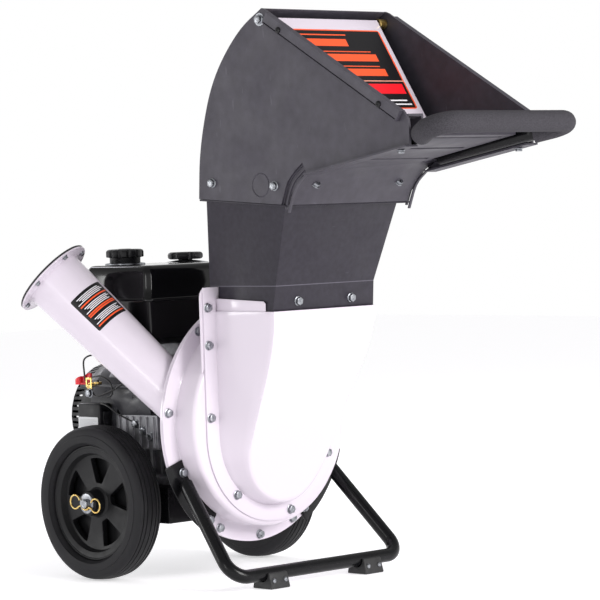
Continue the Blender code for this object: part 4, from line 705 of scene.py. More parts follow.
rim_end = CHUTE_LENGTH + RIM_SHEET
chute_profile = [
    (-CHUTE_BEYOND, chute_radius(-CHUTE_BEYOND)), (CHUTE_LENGTH - 0.004, chute_radius(CHUTE_LENGTH - 0.004)),
    (CHUTE_LENGTH - 0.0012, CHUTE_MOUTH + 0.0006), (CHUTE_LENGTH, CHUTE_MOUTH + 0.0030),
    (CHUTE_LENGTH, CHUTE_RIM - 0.0006), (CHUTE_LENGTH + 0.0006, CHUTE_RIM), (rim_end - 0.0006, CHUTE_RIM),
    (rim_end, CHUTE_RIM - 0.0006), (rim_end, CHUTE_MOUTH - CHUTE_WALL + 0.0012),
    (rim_end - 0.0012, CHUTE_MOUTH - CHUTE_WALL), (-CHUTE_BEYOND, chute_radius(-CHUTE_BEYOND) - CHUTE_WALL),
]
chute = turned("branch_chute", chute_profile, CHUTE_START, CHUTE_DIRECTION, 112)
with editing(chute):
    bpy.ops.mesh.bisect(plane_co=CHUTE_START, plane_no=ALONG_Y, clear_inner=True, use_fill=True)
clean(chute)
settle(chute, white_coat, "chipper_chute", angle=30)

weld_path = []
for k in range(WELD_STEPS):
    point = chute_point(0, CHUTE_ROOT + 0.0006, 2 * math.pi * k / WELD_STEPS)
    point += CHUTE_DIRECTION * (CHUTE_START.y + 0.0008 - point.y) / CHUTE_DIRECTION.y
    weld_path.append(point)
weld = tube("chute_weld", weld_path, 0.0018, closed=True, sides=2)
settle(weld, white_coat, angle=60)

curtain_rubber = clouded(
    "cut black sheet rubber", "rubber", "#1A1A1C", 0.55, cloud=(12.0,), gloss=(0.45, 0.65),
    skin=(0.8, 0.05, 0.4))
curtain_profile = [
    (CURTAIN_START, CURTAIN_HOLE), (CURTAIN_START, CHUTE_RIM - 0.0005), (CURTAIN_START + 0.0005, CHUTE_RIM),
    (CURTAIN_END - 0.0008, CHUTE_RIM), (CURTAIN_END, CHUTE_RIM - 0.0008), (CURTAIN_END, CURTAIN_HOLE),
]
curtain = turned("mouth_curtain", curtain_profile, CHUTE_START, CHUTE_DIRECTION, 112)
slit_corners = [
    (SLIT_NEAR, -SLIT_TURN * 1.5), (SLIT_FAR, -SLIT_TURN * 0.7), (SLIT_FAR, SLIT_TURN * 0.7),
    (SLIT_NEAR, SLIT_TURN * 1.5),
]
for k in range(SLITS):
    turn = 2 * math.pi * k / SLITS
    slit = [chute_point(CURTAIN_START - 0.002, radius, turn + step) for radius, step in slit_corners]
    cut(curtain, pressed("slit", slit, CHUTE_DIRECTION * 0.008))
settle(curtain, curtain_rubber, "chute_curtain", angle=30)


# Feed duct: a scoop drawn from one sheet, straight-sided above and half round below. A flat flange runs down
# both sides and round the bottom, and bolts hold it on the housing's front and on a plate above it.
DUCT_HALF = 0.121
DUCT_FLANGE = 0.0295
DUCT_TOP = 0.449
DUCT_HALF_FRONT = 0.098
DUCT_HALF_TOP = 0.120
DUCT_DROP_FRONT = 0.116
DUCT_THIN = 0.027
DUCT_DEEP = 0.133
DUCT_SWELL = (0.140, 0.460)
DUCT_SHEET = 0.0025
DUCT_FACE = CHAMBER_FRONT - 0.0003
DUCT_BENDS = ((0.0022, 0.0), (0.0006, 0.0006), (0.0, 0.0024))
DUCT_SIDE_SHARES = (0.25, 0.5, 0.75, 0.95)
DUCT_FRONT_SHARES = (0.012, 0.05, 0.12, 0.3, 0.5, 0.7, 0.85, 1.0)
DUCT_ACROSS = 1 + len(DUCT_BENDS + DUCT_SIDE_SHARES + DUCT_FRONT_SHARES)
DUCT_STEPS = 120
PLATE_TOP = 0.489
NECK_HALF_LOW = 0.118
TAB_INNER = NECK_HALF_LOW + 0.004


def duct_depth(z):
    """How far the duct's front stands from its flange at height z."""
    low, high = DUCT_SWELL
    share = min(1.0, max(0.0, (z - low) / (high - low)))
    return DUCT_THIN + (DUCT_DEEP - DUCT_THIN) * share * share * (3 - 2 * share)


def duct_lines(share):
    """Flange edge, root, front corner and middle of the section, some way down one side and under."""
    wide = DUCT_HALF + DUCT_FLANGE
    middle = DUCT_CENTRE_Z
    if share <= 0.5:
        z = DUCT_TOP + (middle - DUCT_TOP) * share * 2
        high = (z - middle) / (DUCT_TOP - middle)
        half = DUCT_HALF_FRONT + (DUCT_HALF_TOP - DUCT_HALF_FRONT) * high
        return (wide, z), (DUCT_HALF, z), (half, z), (0.0, z)
    a = math.cos(math.pi * (share - 0.5))
    b = math.sin(math.pi * (share - 0.5))
    front = (DUCT_HALF_FRONT * a, middle - DUCT_DROP_FRONT * b)
    return (wide * a, middle - wide * b), (DUCT_HALF * a, middle - DUCT_HALF * b), front, (0.0, middle)


def duct_point(across, along):
    """A point of the scoop: across from flange edge to the front's middle, along from side to side."""
    mirrored = along > 0.5
    flange, root, front, middle = duct_lines((1 - along) * 2 if mirrored else along * 2)
    depth = duct_depth(front[1])
    side = [(*flange, DUCT_FACE)]
    side += [(root[0] + wider, root[1], DUCT_FACE - down) for wider, down in DUCT_BENDS]
    for share in DUCT_SIDE_SHARES:
        side.append((
            root[0] + (front[0] - root[0]) * share, root[1] + (front[1] - root[1]) * share,
            DUCT_FACE - depth * share,
        ))
    for share in DUCT_FRONT_SHARES:
        z = front[1] + (middle[1] - front[1]) * share
        side.append((front[0] + (middle[0] - front[0]) * share, z, DUCT_FACE - duct_depth(z)))
    x, z, y = side[across]
    return at(x if mirrored else -x, y, z)


def mapped_grid(name, across, along, place, corner=0.0):
    """A sheet of faces laid where place says for shares from 0 to 1 each way, its corners rounded."""
    bpy.ops.mesh.primitive_grid_add(x_subdivisions=across, y_subdivisions=along, size=2.0)
    piece = bpy.context.active_object
    piece.name = name
    if corner:
        select_none(piece)
        for vertex in piece.data.vertices:
            vertex.select = abs(vertex.co.x) > 0.999 and abs(vertex.co.y) > 0.999
        bpy.ops.object.mode_set(mode="EDIT")
        bpy.ops.mesh.select_mode(type="VERT")
        bpy.ops.mesh.bevel(offset=corner, segments=4, affect="VERTICES")
        bpy.ops.object.mode_set(mode="OBJECT")
    for vertex in piece.data.vertices:
        vertex.co = place((vertex.co.x + 1) / 2, (vertex.co.y + 1) / 2)
    return piece


def scoop_place(across, along):
    """Where the scoop's sheet lies."""
    return duct_point(round(across * (DUCT_ACROSS - 1)), along)


scoop = clean(mapped_grid("feed_scoop", DUCT_ACROSS - 1, DUCT_STEPS, scoop_place))
if min(scoop.data.polygons, key=lambda face: face.center.y).normal.y > 0:
    with editing(scoop):
        bpy.ops.mesh.flip_normals()
wall = scoop.modifiers.new("sheet", "SOLIDIFY")
wall.thickness = DUCT_SHEET
wall.offset = 1.0
wall.use_even_offset = True
apply_all(scoop)
soften(scoop, 0.0005, 2, 60)
settle(scoop, white_coat, "feed_duct", angle=40)

for side, sign in SIDES:
    high_x = DUCT_HALF + DUCT_FLANGE
    tab = block("duct_tab_" + side,
                at(TAB_INNER if sign > 0 else -high_x, DUCT_FACE - DUCT_SHEET, DUCT_TOP - 0.001),
                at(high_x if sign > 0 else -TAB_INNER, DUCT_FACE, PLATE_TOP))
    soften(tab, 0.0008, 2)
    settle(tab, white_coat)

for node, name, width, body in (
    ("duct_back_plate", "duct_upper_plate", 0.0006, "chassis"),
    ("discharge_spout", "outlet_spout", 0.0005, "chassis"),
    ("discharge_deflector", "outlet_flap", 0.0004, "deflector"),
):
    settle(refined(node, name, width), white_coat, node, body)


# Neck: black painted sheet folded to a funnel, with the hopper's flange turned out at its top. It is dull
# beside the housing. Branches have scraped fine light scratches into the paint, and a thin lighter band along
# the fold is a painted highlight.
SCRATCH_COVER = 0.45
SCRATCH_EDGE = 0.76
SCRATCH_FADE = 0.05
SCRATCH_DETAIL = 2.0
NECK_CREASE = 0.490
NECK_CREASE_HALF = 0.0007
CREASE_SHINE = "#57545E"


def scuffed(finish, cloud, tones, light, stretch, size_mm, amount, turn=0.6):
    """Lay clouded tones under light scratches: noise stretched along one way and cut off close to its top."""
    tree = finish.node_tree
    shader = tree.nodes["Principled BSDF"]
    plain = tint(tree, grain(tree, *cloud).outputs["Fac"], shader.inputs["Base Color"], tones)
    place = add(tree, "TexCoord", {})
    way = add(tree, "Mapping", {"Vector": place.outputs["Object"], "Rotation": (turn, turn * 0.7, 0.3),
                                "Scale": (1.0, stretch, 1.0)})
    lines = add(tree, "TexNoise", {"Vector": way.outputs["Vector"], "Scale": 1000.0 / size_mm,
                                   "Detail": SCRATCH_DETAIL})
    edge = SCRATCH_EDGE - amount * 0.1
    mask = add(tree, "MapRange", {
        "Value": lines.outputs["Fac"], "From Min": edge, "From Max": edge + SCRATCH_FADE,
        "To Max": SCRATCH_COVER,
    })
    mixed = add(tree, "MixRGB", {
        "Fac": mask.outputs["Result"], "Color1": plain.outputs["Color"], "Color2": colour(light),
    })
    tree.links.new(mixed.outputs["Color"], shader.inputs["Base Color"])
    return tree, shader, mixed.outputs["Color"]


neck_paint = clouded(
    "satin black powder coat", "black_paint", "#29262E", 0.42, cloud=(35.0,), gloss=(0.38, 0.5),
    skin=(1.3, 0.08, 0.4), Specular_IOR_Level=0.26)
tree, shader, scraped = scuffed(
    neck_paint, (9.0, 7.0), ((0.3, "#25222A"), (0.7, "#2D2A33")), "#4A4750", 14.0, 60.0, 0.35)
place = add(tree, "TexCoord", {})
height = add(tree, "SeparateXYZ", {"Vector": place.outputs["Object"]})
# A thin band of lighter colour along the fold line is a painted highlight, standing in for the light that the
# crease catches.
crease = add(tree, "Math", {0: height.outputs["Z"], 1: NECK_CREASE, 2: NECK_CREASE_HALF}, operation="COMPARE")
crease_highlight = add(tree, "MixRGB", {
    "Fac": crease.outputs["Value"], "Color1": scraped, "Color2": colour(CREASE_SHINE),
})
tree.links.new(crease_highlight.outputs["Color"], shader.inputs["Base Color"])
funnel = refined("neck", "feed_neck", 0.0012, 3)
settle(funnel, neck_paint, "neck", angle=30)


# Hopper: two moulded side walls with thick lips round the mouth, screwed to a bent rear wall. The plastic is
# black with a fine spark-eroded grain, which branches have scuffed pale here and there.
WALL_OUTER = 0.146
WALL_INNER = 0.1415
LIP_REACH = 0.008
LIP_WIDTH = 0.0185
LIP_START = 0.011
LEDGE_REACH = 0.010
LEDGE_SHEET = 0.003
REAR_LINE = [
    (-0.040, 0.634), (-0.045, 0.700), (-0.058, 0.760), (-0.078, 0.815), (-0.108, 0.862), (-0.150, 0.905),
    (-0.198, 0.935),
]
MOUTH_TOP = (-0.206, 0.932)
MOUTH_LOW = (-0.499, 0.759)
NOSE = [(-0.508, 0.747), (-0.510, 0.735), (-0.510, 0.704)]
LEDGE_REAR = (-0.290, 0.6665)
GROOVE_INSET = 0.0034
GROOVE_DEPTH = 0.0034
GROOVE_WIDTH = 0.0018
REAR_TAPER_STEPS = 5
REAR_TAPER = 0.6
REAR_SHEET = 0.0045
FRONT_HOLLOW = [(-0.279, 0.686), (-0.264, 0.676), (-0.245, 0.658), (-0.229, 0.621)]

hopper_plastic = clouded(
    "spark-grained black polyethylene", "hopper_plastic", "#3C3942", 0.52, cloud=(60.0,), gloss=(0.46, 0.6),
    skin=(1.1, 0.16, 0.55, 4.0), Specular_IOR_Level=0.4)
scuffed(hopper_plastic, (16.0, 7.0), ((0.3, "#39363E"), (0.7, "#423F48")), "#56535C", 5.0, 40.0, 0.6, 0.4)


def smooth_line(points, steps=5, run_on=True):
    """Points on a smooth curve through these ones, whose ends run on straight or stop."""
    points = [Vector(point) for point in points]
    first = points[0] * 2 - points[1] if run_on else points[0]
    last = points[-1] * 2 - points[-2] if run_on else points[-1]
    ends = [first] + points + [last]
    line = []
    for a, b, c, d in zip(ends, ends[1:], ends[2:], ends[3:]):
        for i in range(steps):
            t = i / steps
            line.append(0.5 * (b * 2 + (c - a) * t + (a * 2 - b * 5 + c * 4 - d) * t * t
                               + (b * 3 - a - c * 3 + d) * t * t * t))
    return line + [points[-1]]


def strip(line, thickness):
    """Outline of a bent sheet: the line, and the same line moved sideways by thickness."""
    line = [Vector(point) for point in line]
    moved = []
    for i, point in enumerate(line):
        way = (line[min(i + 1, len(line) - 1)] - line[max(i - 1, 0)]).normalized()
        moved.append(point + Vector((-way.y, way.x)) * thickness)
    return line + moved[::-1]


def slab(name, outline, start, end):
    """A plate with this (y, z) outline, from x start to x end."""
    return pressed(name, [at(start, y, z) for y, z in outline], ALONG_X * (end - start))


rear_curve = [(point.x, point.y) for point in smooth_line(REAR_LINE)]
mouth_way = (Vector(MOUTH_LOW) - Vector(MOUTH_TOP)).normalized()
into_wall = Vector((-mouth_way.y, mouth_way.x))
lip_top = Vector(MOUTH_TOP) + mouth_way * LIP_START
groove_shift = into_wall * (LIP_WIDTH - GROOVE_INSET)
groove_line = [
    lip_top + mouth_way * 0.002 + groove_shift, Vector(MOUTH_LOW) - mouth_way * 0.003 + groove_shift,
]
lip_face = WALL_OUTER + LIP_REACH
wall_outline = rear_curve + [MOUTH_TOP, MOUTH_LOW] + NOSE + [LEDGE_REAR] + FRONT_HOLLOW
for side, sign in SIDES:
    wall = slab("hopper_wall_" + side, wall_outline, sign * WALL_INNER, sign * WALL_OUTER)
    lip_outline = strip([lip_top, MOUTH_LOW], LIP_WIDTH)
    cut(wall, slab("lip", lip_outline, sign * (WALL_INNER + 0.001), sign * lip_face), "UNION")
    ledge_outline = strip([LEDGE_REAR, NOSE[-1]], -LEDGE_SHEET)
    ledge = slab("ledge", ledge_outline, sign * (WALL_INNER - 0.014), sign * (WALL_OUTER + LEDGE_REACH))
    cut(wall, ledge, "UNION")
    groove_outline = strip(groove_line, GROOVE_WIDTH)
    cut(wall, slab("groove", groove_outline, sign * (lip_face - GROOVE_DEPTH), sign * (lip_face + 0.01)))
    soften(wall, 0.0011, 3, 30)
    settle(wall, hopper_plastic, "hopper_side_" + side, angle=30)

inside = WALL_INNER - 0.0003
outer_line = [Vector((y - 0.001, z)) for y, z in rear_curve]
inner_line = strip(outer_line, REAR_SHEET)[len(outer_line):][::-1]
thinned = []
for k, (outer, inner) in enumerate(zip(outer_line, inner_line)):
    share = max(0.0, 1.0 - (len(outer_line) - 1 - k) / REAR_TAPER_STEPS)
    thinned.append(inner.lerp(outer, share * REAR_TAPER))
rear_wall = slab("hopper_rear_wall", outer_line + thinned[::-1], -inside, inside)
soften(rear_wall, 0.0008, 2, 50)
settle(rear_wall, hopper_plastic, "hopper_rear", angle=30)


# Tray: one moulding with a channelled floor, and in front of the neck a skirt that curls down to its flange
# between two ribbed cheeks. Three shallow channels cross the underside.
SKIRT_CURVE = [(-0.2405, 0.620), (-0.248, 0.637), (-0.262, 0.654), (-0.280, 0.671), (-0.302, 0.683)]
TRAY_REAR = (-0.300, 0.6826)
TRAY_SLOPE = 0.185
TRAY_CHANNELS = (-0.488, -0.410, -0.332)
CHANNEL_HALF = 0.0045
CHANNEL_REACH = 0.092
CHEEK_INNER = 0.1380
CHEEK_OUTER = 0.1408
CHEEK_RIBS = (0.003, 0.011, 0.019)
CHEEK_RIB = 0.0022
tray = refined("tray", "feed_tray", 0.0012, 2)
for y in TRAY_CHANNELS:
    under = TRAY_REAR[1] + (TRAY_REAR[0] - y) * TRAY_SLOPE
    front, rear = y - CHANNEL_HALF, y + CHANNEL_HALF
    outline = [(front, under - 0.01), (front, under + 0.0034), (rear, under + 0.0018), (rear, under - 0.01)]
    cut(tray, slab("channel", outline, -CHANNEL_REACH, CHANNEL_REACH))
settle(tray, hopper_plastic, "tray", angle=30)
for side, sign in SIDES:
    cheek = slab("skirt_cheek_" + side, SKIRT_CURVE + FRONT_HOLLOW, sign * CHEEK_INNER, sign * CHEEK_OUTER)
    for inset in CHEEK_RIBS:
        line = [Vector(point) + Vector((-0.7, -0.7)) * inset for point in smooth_line(FRONT_HOLLOW, 3)]
        rib = slab("rib", strip(line, CHEEK_RIB), sign * CHEEK_INNER, sign * (CHEEK_OUTER + CHEEK_RIB))
        cut(cheek, rib, "UNION")
    soften(cheek, 0.0006, 2)
    settle(cheek, hopper_plastic, angle=30)


# Cross rod and baffle: a zinc-plated rod in two sleeves ties the walls together at the top of the mouth, and
# a white plate hangs from it. The plate carries a plain printed field of bars, without lettering.
ROD_Y = MOUTH_TOP[0] + 0.010
ROD_Z = MOUTH_TOP[1] - 0.018
ROD_RADIUS = 0.004
BAFFLE_LOW = (-0.308, 0.737)
SLEEVE_START = 0.1250
SLEEVE_END = 0.1410
SLEEVE_RADIUS = 0.0090
rod_place = at(0, ROD_Y, ROD_Z)
settle(pin("cross_rod", -inside, inside, ROD_RADIUS, rod_place, ALONG_X, 24), bright_zinc, "mouth_rod")
sleeve_profile = [
    (SLEEVE_START, ROD_RADIUS), (SLEEVE_START, SLEEVE_RADIUS - 0.0008),
    (SLEEVE_START + 0.0010, SLEEVE_RADIUS), (SLEEVE_END - 0.0008, SLEEVE_RADIUS),
    (SLEEVE_END, SLEEVE_RADIUS - 0.0008), (SLEEVE_END, ROD_RADIUS),
]
for side, sign in SIDES:
    sleeve = turned("rod_sleeve_" + side, facing(sleeve_profile, sign), rod_place, ALONG_X, 40)
    settle(sleeve, yellow_zinc)
settle(refined("baffle", "splash_baffle", 0.0004), white_coat, "baffle")


# Handle: one bent tube under the walls' ledges, painted black, with a foam sleeve pulled over its bends and
# crossbar. The foam is closed-cell rubber, grey-black and matt, with fine pores all over.
HANDLE_TUBE = 0.0125
HANDLE_LEG_X = 0.1285
HANDLE_BAR_HALF = 0.173
HANDLE_BAR_Z = 0.739
HANDLE_START = 0.040
HANDLE_PAST_LEDGE = 0.010
HANDLE_BAR_AHEAD = 0.077
HANDLE_BENDS = (0.025, 0.028, 0.028, 0.025)
GRIP_RADIUS = 0.017
GRIP_AHEAD = 0.012
GRIP_STEP = 0.012
FOAM_CELL_MM = 1.6
grip_foam, tree, shader = new_finish(
    "closed-cell rubber foam", "foam", "#2E2C31", 0.85, Specular_IOR_Level=0.25)
place = add(tree, "TexCoord", {})
cells = add(tree, "TexVoronoi", {"Vector": place.outputs["Object"], "Scale": 1000.0 / FOAM_CELL_MM})
tint(tree, cells.outputs["Distance"], shader.inputs["Base Color"], ((0.15, "#29282C"), (0.6, "#3D3B40")))
roughen(tree, shader, cells.outputs["Distance"], 0.25, 0.7)

ledge_rear, ledge_front = Vector(LEDGE_REAR), Vector(NOSE[-1])
slope = (ledge_front - ledge_rear).normalized()
rise = Vector((-slope.y, slope.x)) * -(LEDGE_SHEET + 0.0003 + HANDLE_TUBE)
start = ledge_rear + slope * HANDLE_START + rise
bend = ledge_front + slope * HANDLE_PAST_LEDGE + rise
bar_y = ledge_front.x - HANDLE_BAR_AHEAD
corners = [at(-HANDLE_LEG_X, *start), at(-HANDLE_LEG_X, *bend), at(-HANDLE_BAR_HALF, bar_y, HANDLE_BAR_Z)]
corners += [at(HANDLE_BAR_HALF, bar_y, HANDLE_BAR_Z), at(HANDLE_LEG_X, *bend), at(HANDLE_LEG_X, *start)]
handle_path = rounded(corners, HANDLE_BENDS, 12)
bar = tube("handle_bar", handle_path, HANDLE_TUBE, sides=10)
settle(bar, black_gloss, "handle_tube", angle=60)

grip_start = at(0, ledge_front.x - GRIP_AHEAD, 0).y
covered = [point for point in handle_path if point.y < grip_start]
foam_path = []
for here, there in zip(covered, covered[1:]):
    pieces = max(1, round((there - here).length / GRIP_STEP))
    foam_path += [here.lerp(there, i / pieces) for i in range(pieces)]
foam_path.append(covered[-1])
foam = tube("grip_sleeve", foam_path, GRIP_RADIUS, sides=10)
soften(foam, 0.003, 3, 60)
settle(foam, grip_foam, "handle_grip", angle=60)


# Engine block: cast aluminium crankcase with ribs on its side, a finned cylinder leaning to the right, and a
# valve cover. Sand-cast metal is grey and slightly rough, and only the machined faces shine.
CASE_SIDE = -0.088
CASE_RIBS = (0.086, 0.108, 0.130, 0.152, 0.174)
CASE_RIB_HALF = 0.0018
CASE_RIB_LOW = 0.172
CASE_RIB_HIGH = 0.236
CASE_BEAM = (0.074, 0.196)
cast_metal = clouded(
    "sand-cast aluminium", "cast_metal", "#8E8E92", 0.48, cloud=(14.0,), gloss=(0.4, 0.6),
    tones=((0.3, "#77777B"), (0.7, "#A1A1A5")), skin=(0.8, 0.12, 0.6, 4.0), metallic=0.75)
crankcase = refined("crankcase", "engine_block", 0.0012, 2)
for y in CASE_RIBS:
    rib = block("rib", at(CASE_SIDE - 0.0045, y - CASE_RIB_HALF, CASE_RIB_LOW),
                at(CASE_SIDE + 0.004, y + CASE_RIB_HALF, CASE_RIB_HIGH))
    cut(crankcase, rib, "UNION")
beam = block("beam", at(CASE_SIDE - 0.0030, CASE_BEAM[0], CASE_RIB_HIGH - 0.002),
             at(CASE_SIDE + 0.004, CASE_BEAM[1], CASE_RIB_HIGH + 0.004))
cut(crankcase, beam, "UNION")
settle(crankcase, cast_metal, "crankcase")
for node, name, width in (
    ("cylinder", "finned_cylinder", 0.0006), ("valve_cover", "valve_cover_cast", 0.0015),
    ("carburettor", "carburettor_body", 0.0010),
):
    settle(refined(node, name, width), cast_metal, node)

moulded_black = clouded(
    "moulded black engine plastic", "black_case", "#151518", 0.38, cloud=(18.0,), gloss=(0.3, 0.48),
    skin=(0.9, 0.06, 0.4), Specular_IOR_Level=0.3)
settle(refined("oil_plug", "oil_filler_plug", 0.0008), moulded_black, "oil_plug", "plug")
settle(refined("spark_plug", "spark_plug_cap", 0.0006), foot_rubber, "spark_plug")


# Muffler: a pressed steel box, straw and brown from the heat, behind a black slotted guard.
hot_steel = clouded(
    "heat-stained pressed steel", "bare_steel", "#8F877D", 0.42, cloud=(26.0,), gloss=(0.35, 0.55),
    tones=((0.3, "#6E6258"), (0.5, "#9A9086"), (0.75, "#A9A6A4")), metallic=1.0)
settle(refined("muffler", "muffler_box", 0.0010), hot_steel, "muffler")
settle(refined("muffler_guard", "muffler_heat_guard", 0.0006), neck_paint, "muffler_guard")


# Fuel tank: two pressed steel halves seamed round the middle, in deep black gloss. The filler cap is moulded
# plastic with finger lobes, on a bright plated ring.
TANK_LOW = (-0.150, 0.087)
TANK_HIGH = (0.045, 0.262)
TANK_BOTTOM = 0.392
TANK_SEAM = 0.468
TANK_TOP = 0.526
TANK_CORNER = 0.017
FILLER_X = -0.085
FILLER_Y = 0.213
FILLER_TOP = 0.536
CAP_RADIUS = 0.032
CAP_LOBES = 12
CAP_LOBE = 0.0050
CAP_LOBE_OUT = 0.0022
SEAM_STEPS = (
    (0.004, -0.0030), (0.0032, -0.0020), (0.0002, -0.0016), (0.0, -0.0010), (0.0, 0.0010), (0.0002, 0.0016),
    (0.0032, 0.0020), (0.004, 0.0032),
)


def rounded_outline(low, high, radius, steps=8):
    """Outline of a rectangle with round corners."""
    right, top, left, under = high[0] - radius, high[1] - radius, low[0] + radius, low[1] + radius
    points = []
    for k, centre in enumerate(((right, top), (left, top), (left, under), (right, under))):
        start = math.pi / 2 * (k if k < 3 else -1)
        points += arc(centre, radius, start, start + math.pi / 2, steps)
    return points


def lofted(name, loops):
    """A closed body through loops that all have the same number of points."""
    count, rows = len(loops[0]), len(loops)

    def place(across, along):
        """The loops' point at these shares."""
        return loops[round(along * (rows - 1))][round(across * count) % count]

    piece = mapped_grid(name, count, rows - 1, place)
    with editing(piece):
        bpy.ops.mesh.remove_doubles(threshold=MERGE)
        bpy.ops.mesh.fill_holes(sides=0)
    return clean(piece)


def rounded_tower(name, low, high, levels, radius):
    """A body with round corners, drawn in by its inset at each height."""
    loops = []
    for inset, z in levels:
        near = (low[0] + inset, low[1] + inset)
        far = (high[0] - inset, high[1] - inset)
        loops.append([at(x, y, z) for x, y in rounded_outline(near, far, max(0.004, radius - inset * 0.5))])
    return lofted(name, loops)


def scalloped(piece, count, first, radius, low, high, centre, reach):
    """Cut finger hollows of one radius round an upright knob, with their middles at reach from its centre."""
    hollow = pin("hollow", low, high, radius, centre + ALONG_X * reach, ALONG_Z, 32)
    for k in range(count):
        cut(piece, turn_copy(hollow, "hollow_copy", first + 2 * math.pi * k / count, centre, "Z"))
    bpy.data.objects.remove(hollow, do_unlink=True)
    return soften(piece, 0.0008, 2, 40)


tank_enamel = clouded(
    "deep black tank enamel", "black_paint", "#09090B", 0.08, cloud=(50.0,), gloss=(0.07, 0.11),
    skin=(3.0, 0.04, 0.2), Specular_IOR_Level=0.34)
tank_levels = [
    (0.022, TANK_BOTTOM), (0.0150, TANK_BOTTOM + 0.0016), (0.010, TANK_BOTTOM + 0.006),
    (0.0068, TANK_BOTTOM + 0.014), (0.005, TANK_BOTTOM + 0.024),
]
tank_levels += [(inset, TANK_SEAM + rise) for inset, rise in SEAM_STEPS]
tank_levels += [
    (0.0055, TANK_TOP - 0.030), (0.0065, TANK_TOP - 0.0140), (0.0080, TANK_TOP - 0.0080),
    (0.0105, TANK_TOP - 0.0038), (0.0140, TANK_TOP - 0.0012), (0.0190, TANK_TOP - 0.0002), (0.0260, TANK_TOP),
]
tank = rounded_tower("fuel_tank_shell", TANK_LOW, TANK_HIGH, tank_levels, TANK_CORNER)
settle(tank, tank_enamel, "fuel_tank", angle=50)

filler_place = at(FILLER_X, FILLER_Y, FILLER_TOP)
ring_profile = [
    (-0.0104, 0.0), (-0.0104, 0.0330), (-0.0094, 0.0345), (-0.0080, 0.0343), (-0.0072, 0.0325),
    (-0.0066, 0.0270), (-0.0066, 0.0),
]
filler_ring = turned("filler_ring", ring_profile, filler_place, ALONG_Z, 72)
settle(filler_ring, bright_zinc)
cap_profile = [
    (0.0003, 0.0), (0.0003, 0.0223), (-0.0062, 0.0223), (-0.0062, 0.0262), (0.0020, 0.0262),
    (0.0026, 0.0285), (0.0030, CAP_RADIUS - 0.001), (0.0040, CAP_RADIUS), (0.0120, CAP_RADIUS),
    (0.0145, CAP_RADIUS - 0.0010), (0.0162, CAP_RADIUS - 0.0045), (0.0165, CAP_RADIUS - 0.009),
    (0.0165, 0.012), (0.0172, 0.010), (0.0172, 0.0),
]
cap = turned("fuel_tank_cap", cap_profile, filler_place, ALONG_Z, 120)
scalloped(cap, CAP_LOBES, 0.0, CAP_LOBE, -0.02, 0.03, filler_place, CAP_RADIUS + CAP_LOBE_OUT)
settle(cap, moulded_black, "fuel_cap", "cap", angle=30)


# Air cleaner and carburettor controls: a moulded case and cover, and a lobed knob that screws them down over
# a bright plate.
CLEANER_LOW = (0.052, 0.210)
CLEANER_HIGH = (0.148, 0.310)
CLEANER_BOTTOM = 0.452
CLEANER_SPLIT = 0.490
CLEANER_TOP = 0.522
CLEANER_LIP = 0.0012
KNOB_PLACE = at(0.100, 0.260, CLEANER_TOP)
KNOB_RADIUS = 0.031
KNOB_HOLLOWS = 6
KNOB_TURN = math.radians(8)
case_levels = [
    (0.006, CLEANER_BOTTOM), (0.002, CLEANER_BOTTOM + 0.003), (0.0, CLEANER_BOTTOM + 0.008),
    (0.0, CLEANER_SPLIT - 0.004), (-CLEANER_LIP, CLEANER_SPLIT - 0.003),
    (-CLEANER_LIP, CLEANER_SPLIT - 0.0002),
]
case = rounded_tower("air_cleaner_box", CLEANER_LOW, CLEANER_HIGH, case_levels, 0.018)
settle(case, moulded_black, "air_cleaner_case", angle=40)
cover_levels = [
    (-CLEANER_LIP, CLEANER_SPLIT + 0.0003), (-CLEANER_LIP, CLEANER_SPLIT + 0.004),
    (0.0, CLEANER_SPLIT + 0.005), (0.001, CLEANER_TOP - 0.010), (0.0024, CLEANER_TOP - 0.005),
    (0.006, CLEANER_TOP - 0.0015), (0.012, CLEANER_TOP),
]
cover = rounded_tower("air_cleaner_lid", CLEANER_LOW, CLEANER_HIGH, cover_levels, 0.020)
settle(cover, moulded_black, "air_cleaner_cover", angle=40)
dish_profile = [
    (-0.0008, 0.0), (-0.0008, 0.0400), (0.0004, 0.0412), (0.0016, 0.0400), (0.0034, 0.0300), (0.0052, 0.0180),
    (0.0056, 0.0130), (0.0056, 0.0),
]
settle(turned("cleaner_plate", dish_profile, KNOB_PLACE, ALONG_Z, 96), bright_zinc)
knob_profile = [
    (0.0003, 0.0), (0.0003, 0.0124), (0.0072, 0.0124), (0.0072, KNOB_RADIUS - 0.0045),
    (0.0084, KNOB_RADIUS - 0.0015), (0.0110, KNOB_RADIUS), (0.0150, KNOB_RADIUS),
    (0.0180, KNOB_RADIUS - 0.0015), (0.0195, KNOB_RADIUS - 0.0050), (0.0195, 0.0145), (0.0165, 0.0125),
    (0.0165, 0.0060), (0.0190, 0.0050), (0.0190, 0.0),
]
knob = turned("air_cleaner_wing_knob", knob_profile, KNOB_PLACE, ALONG_Z, 120)
scalloped(knob, KNOB_HOLLOWS, KNOB_TURN, 0.0078, 0.0, 0.034, KNOB_PLACE, KNOB_RADIUS + 0.0028)
settle(knob, moulded_black, "air_cleaner_knob", "cleaner_knob", angle=30)
for node, body in (("choke_lever", "choke"), ("fuel_valve_lever", "fuel_valve")):
    settle(refined(node, node + "_blade", 0.0006), moulded_black, node, body)


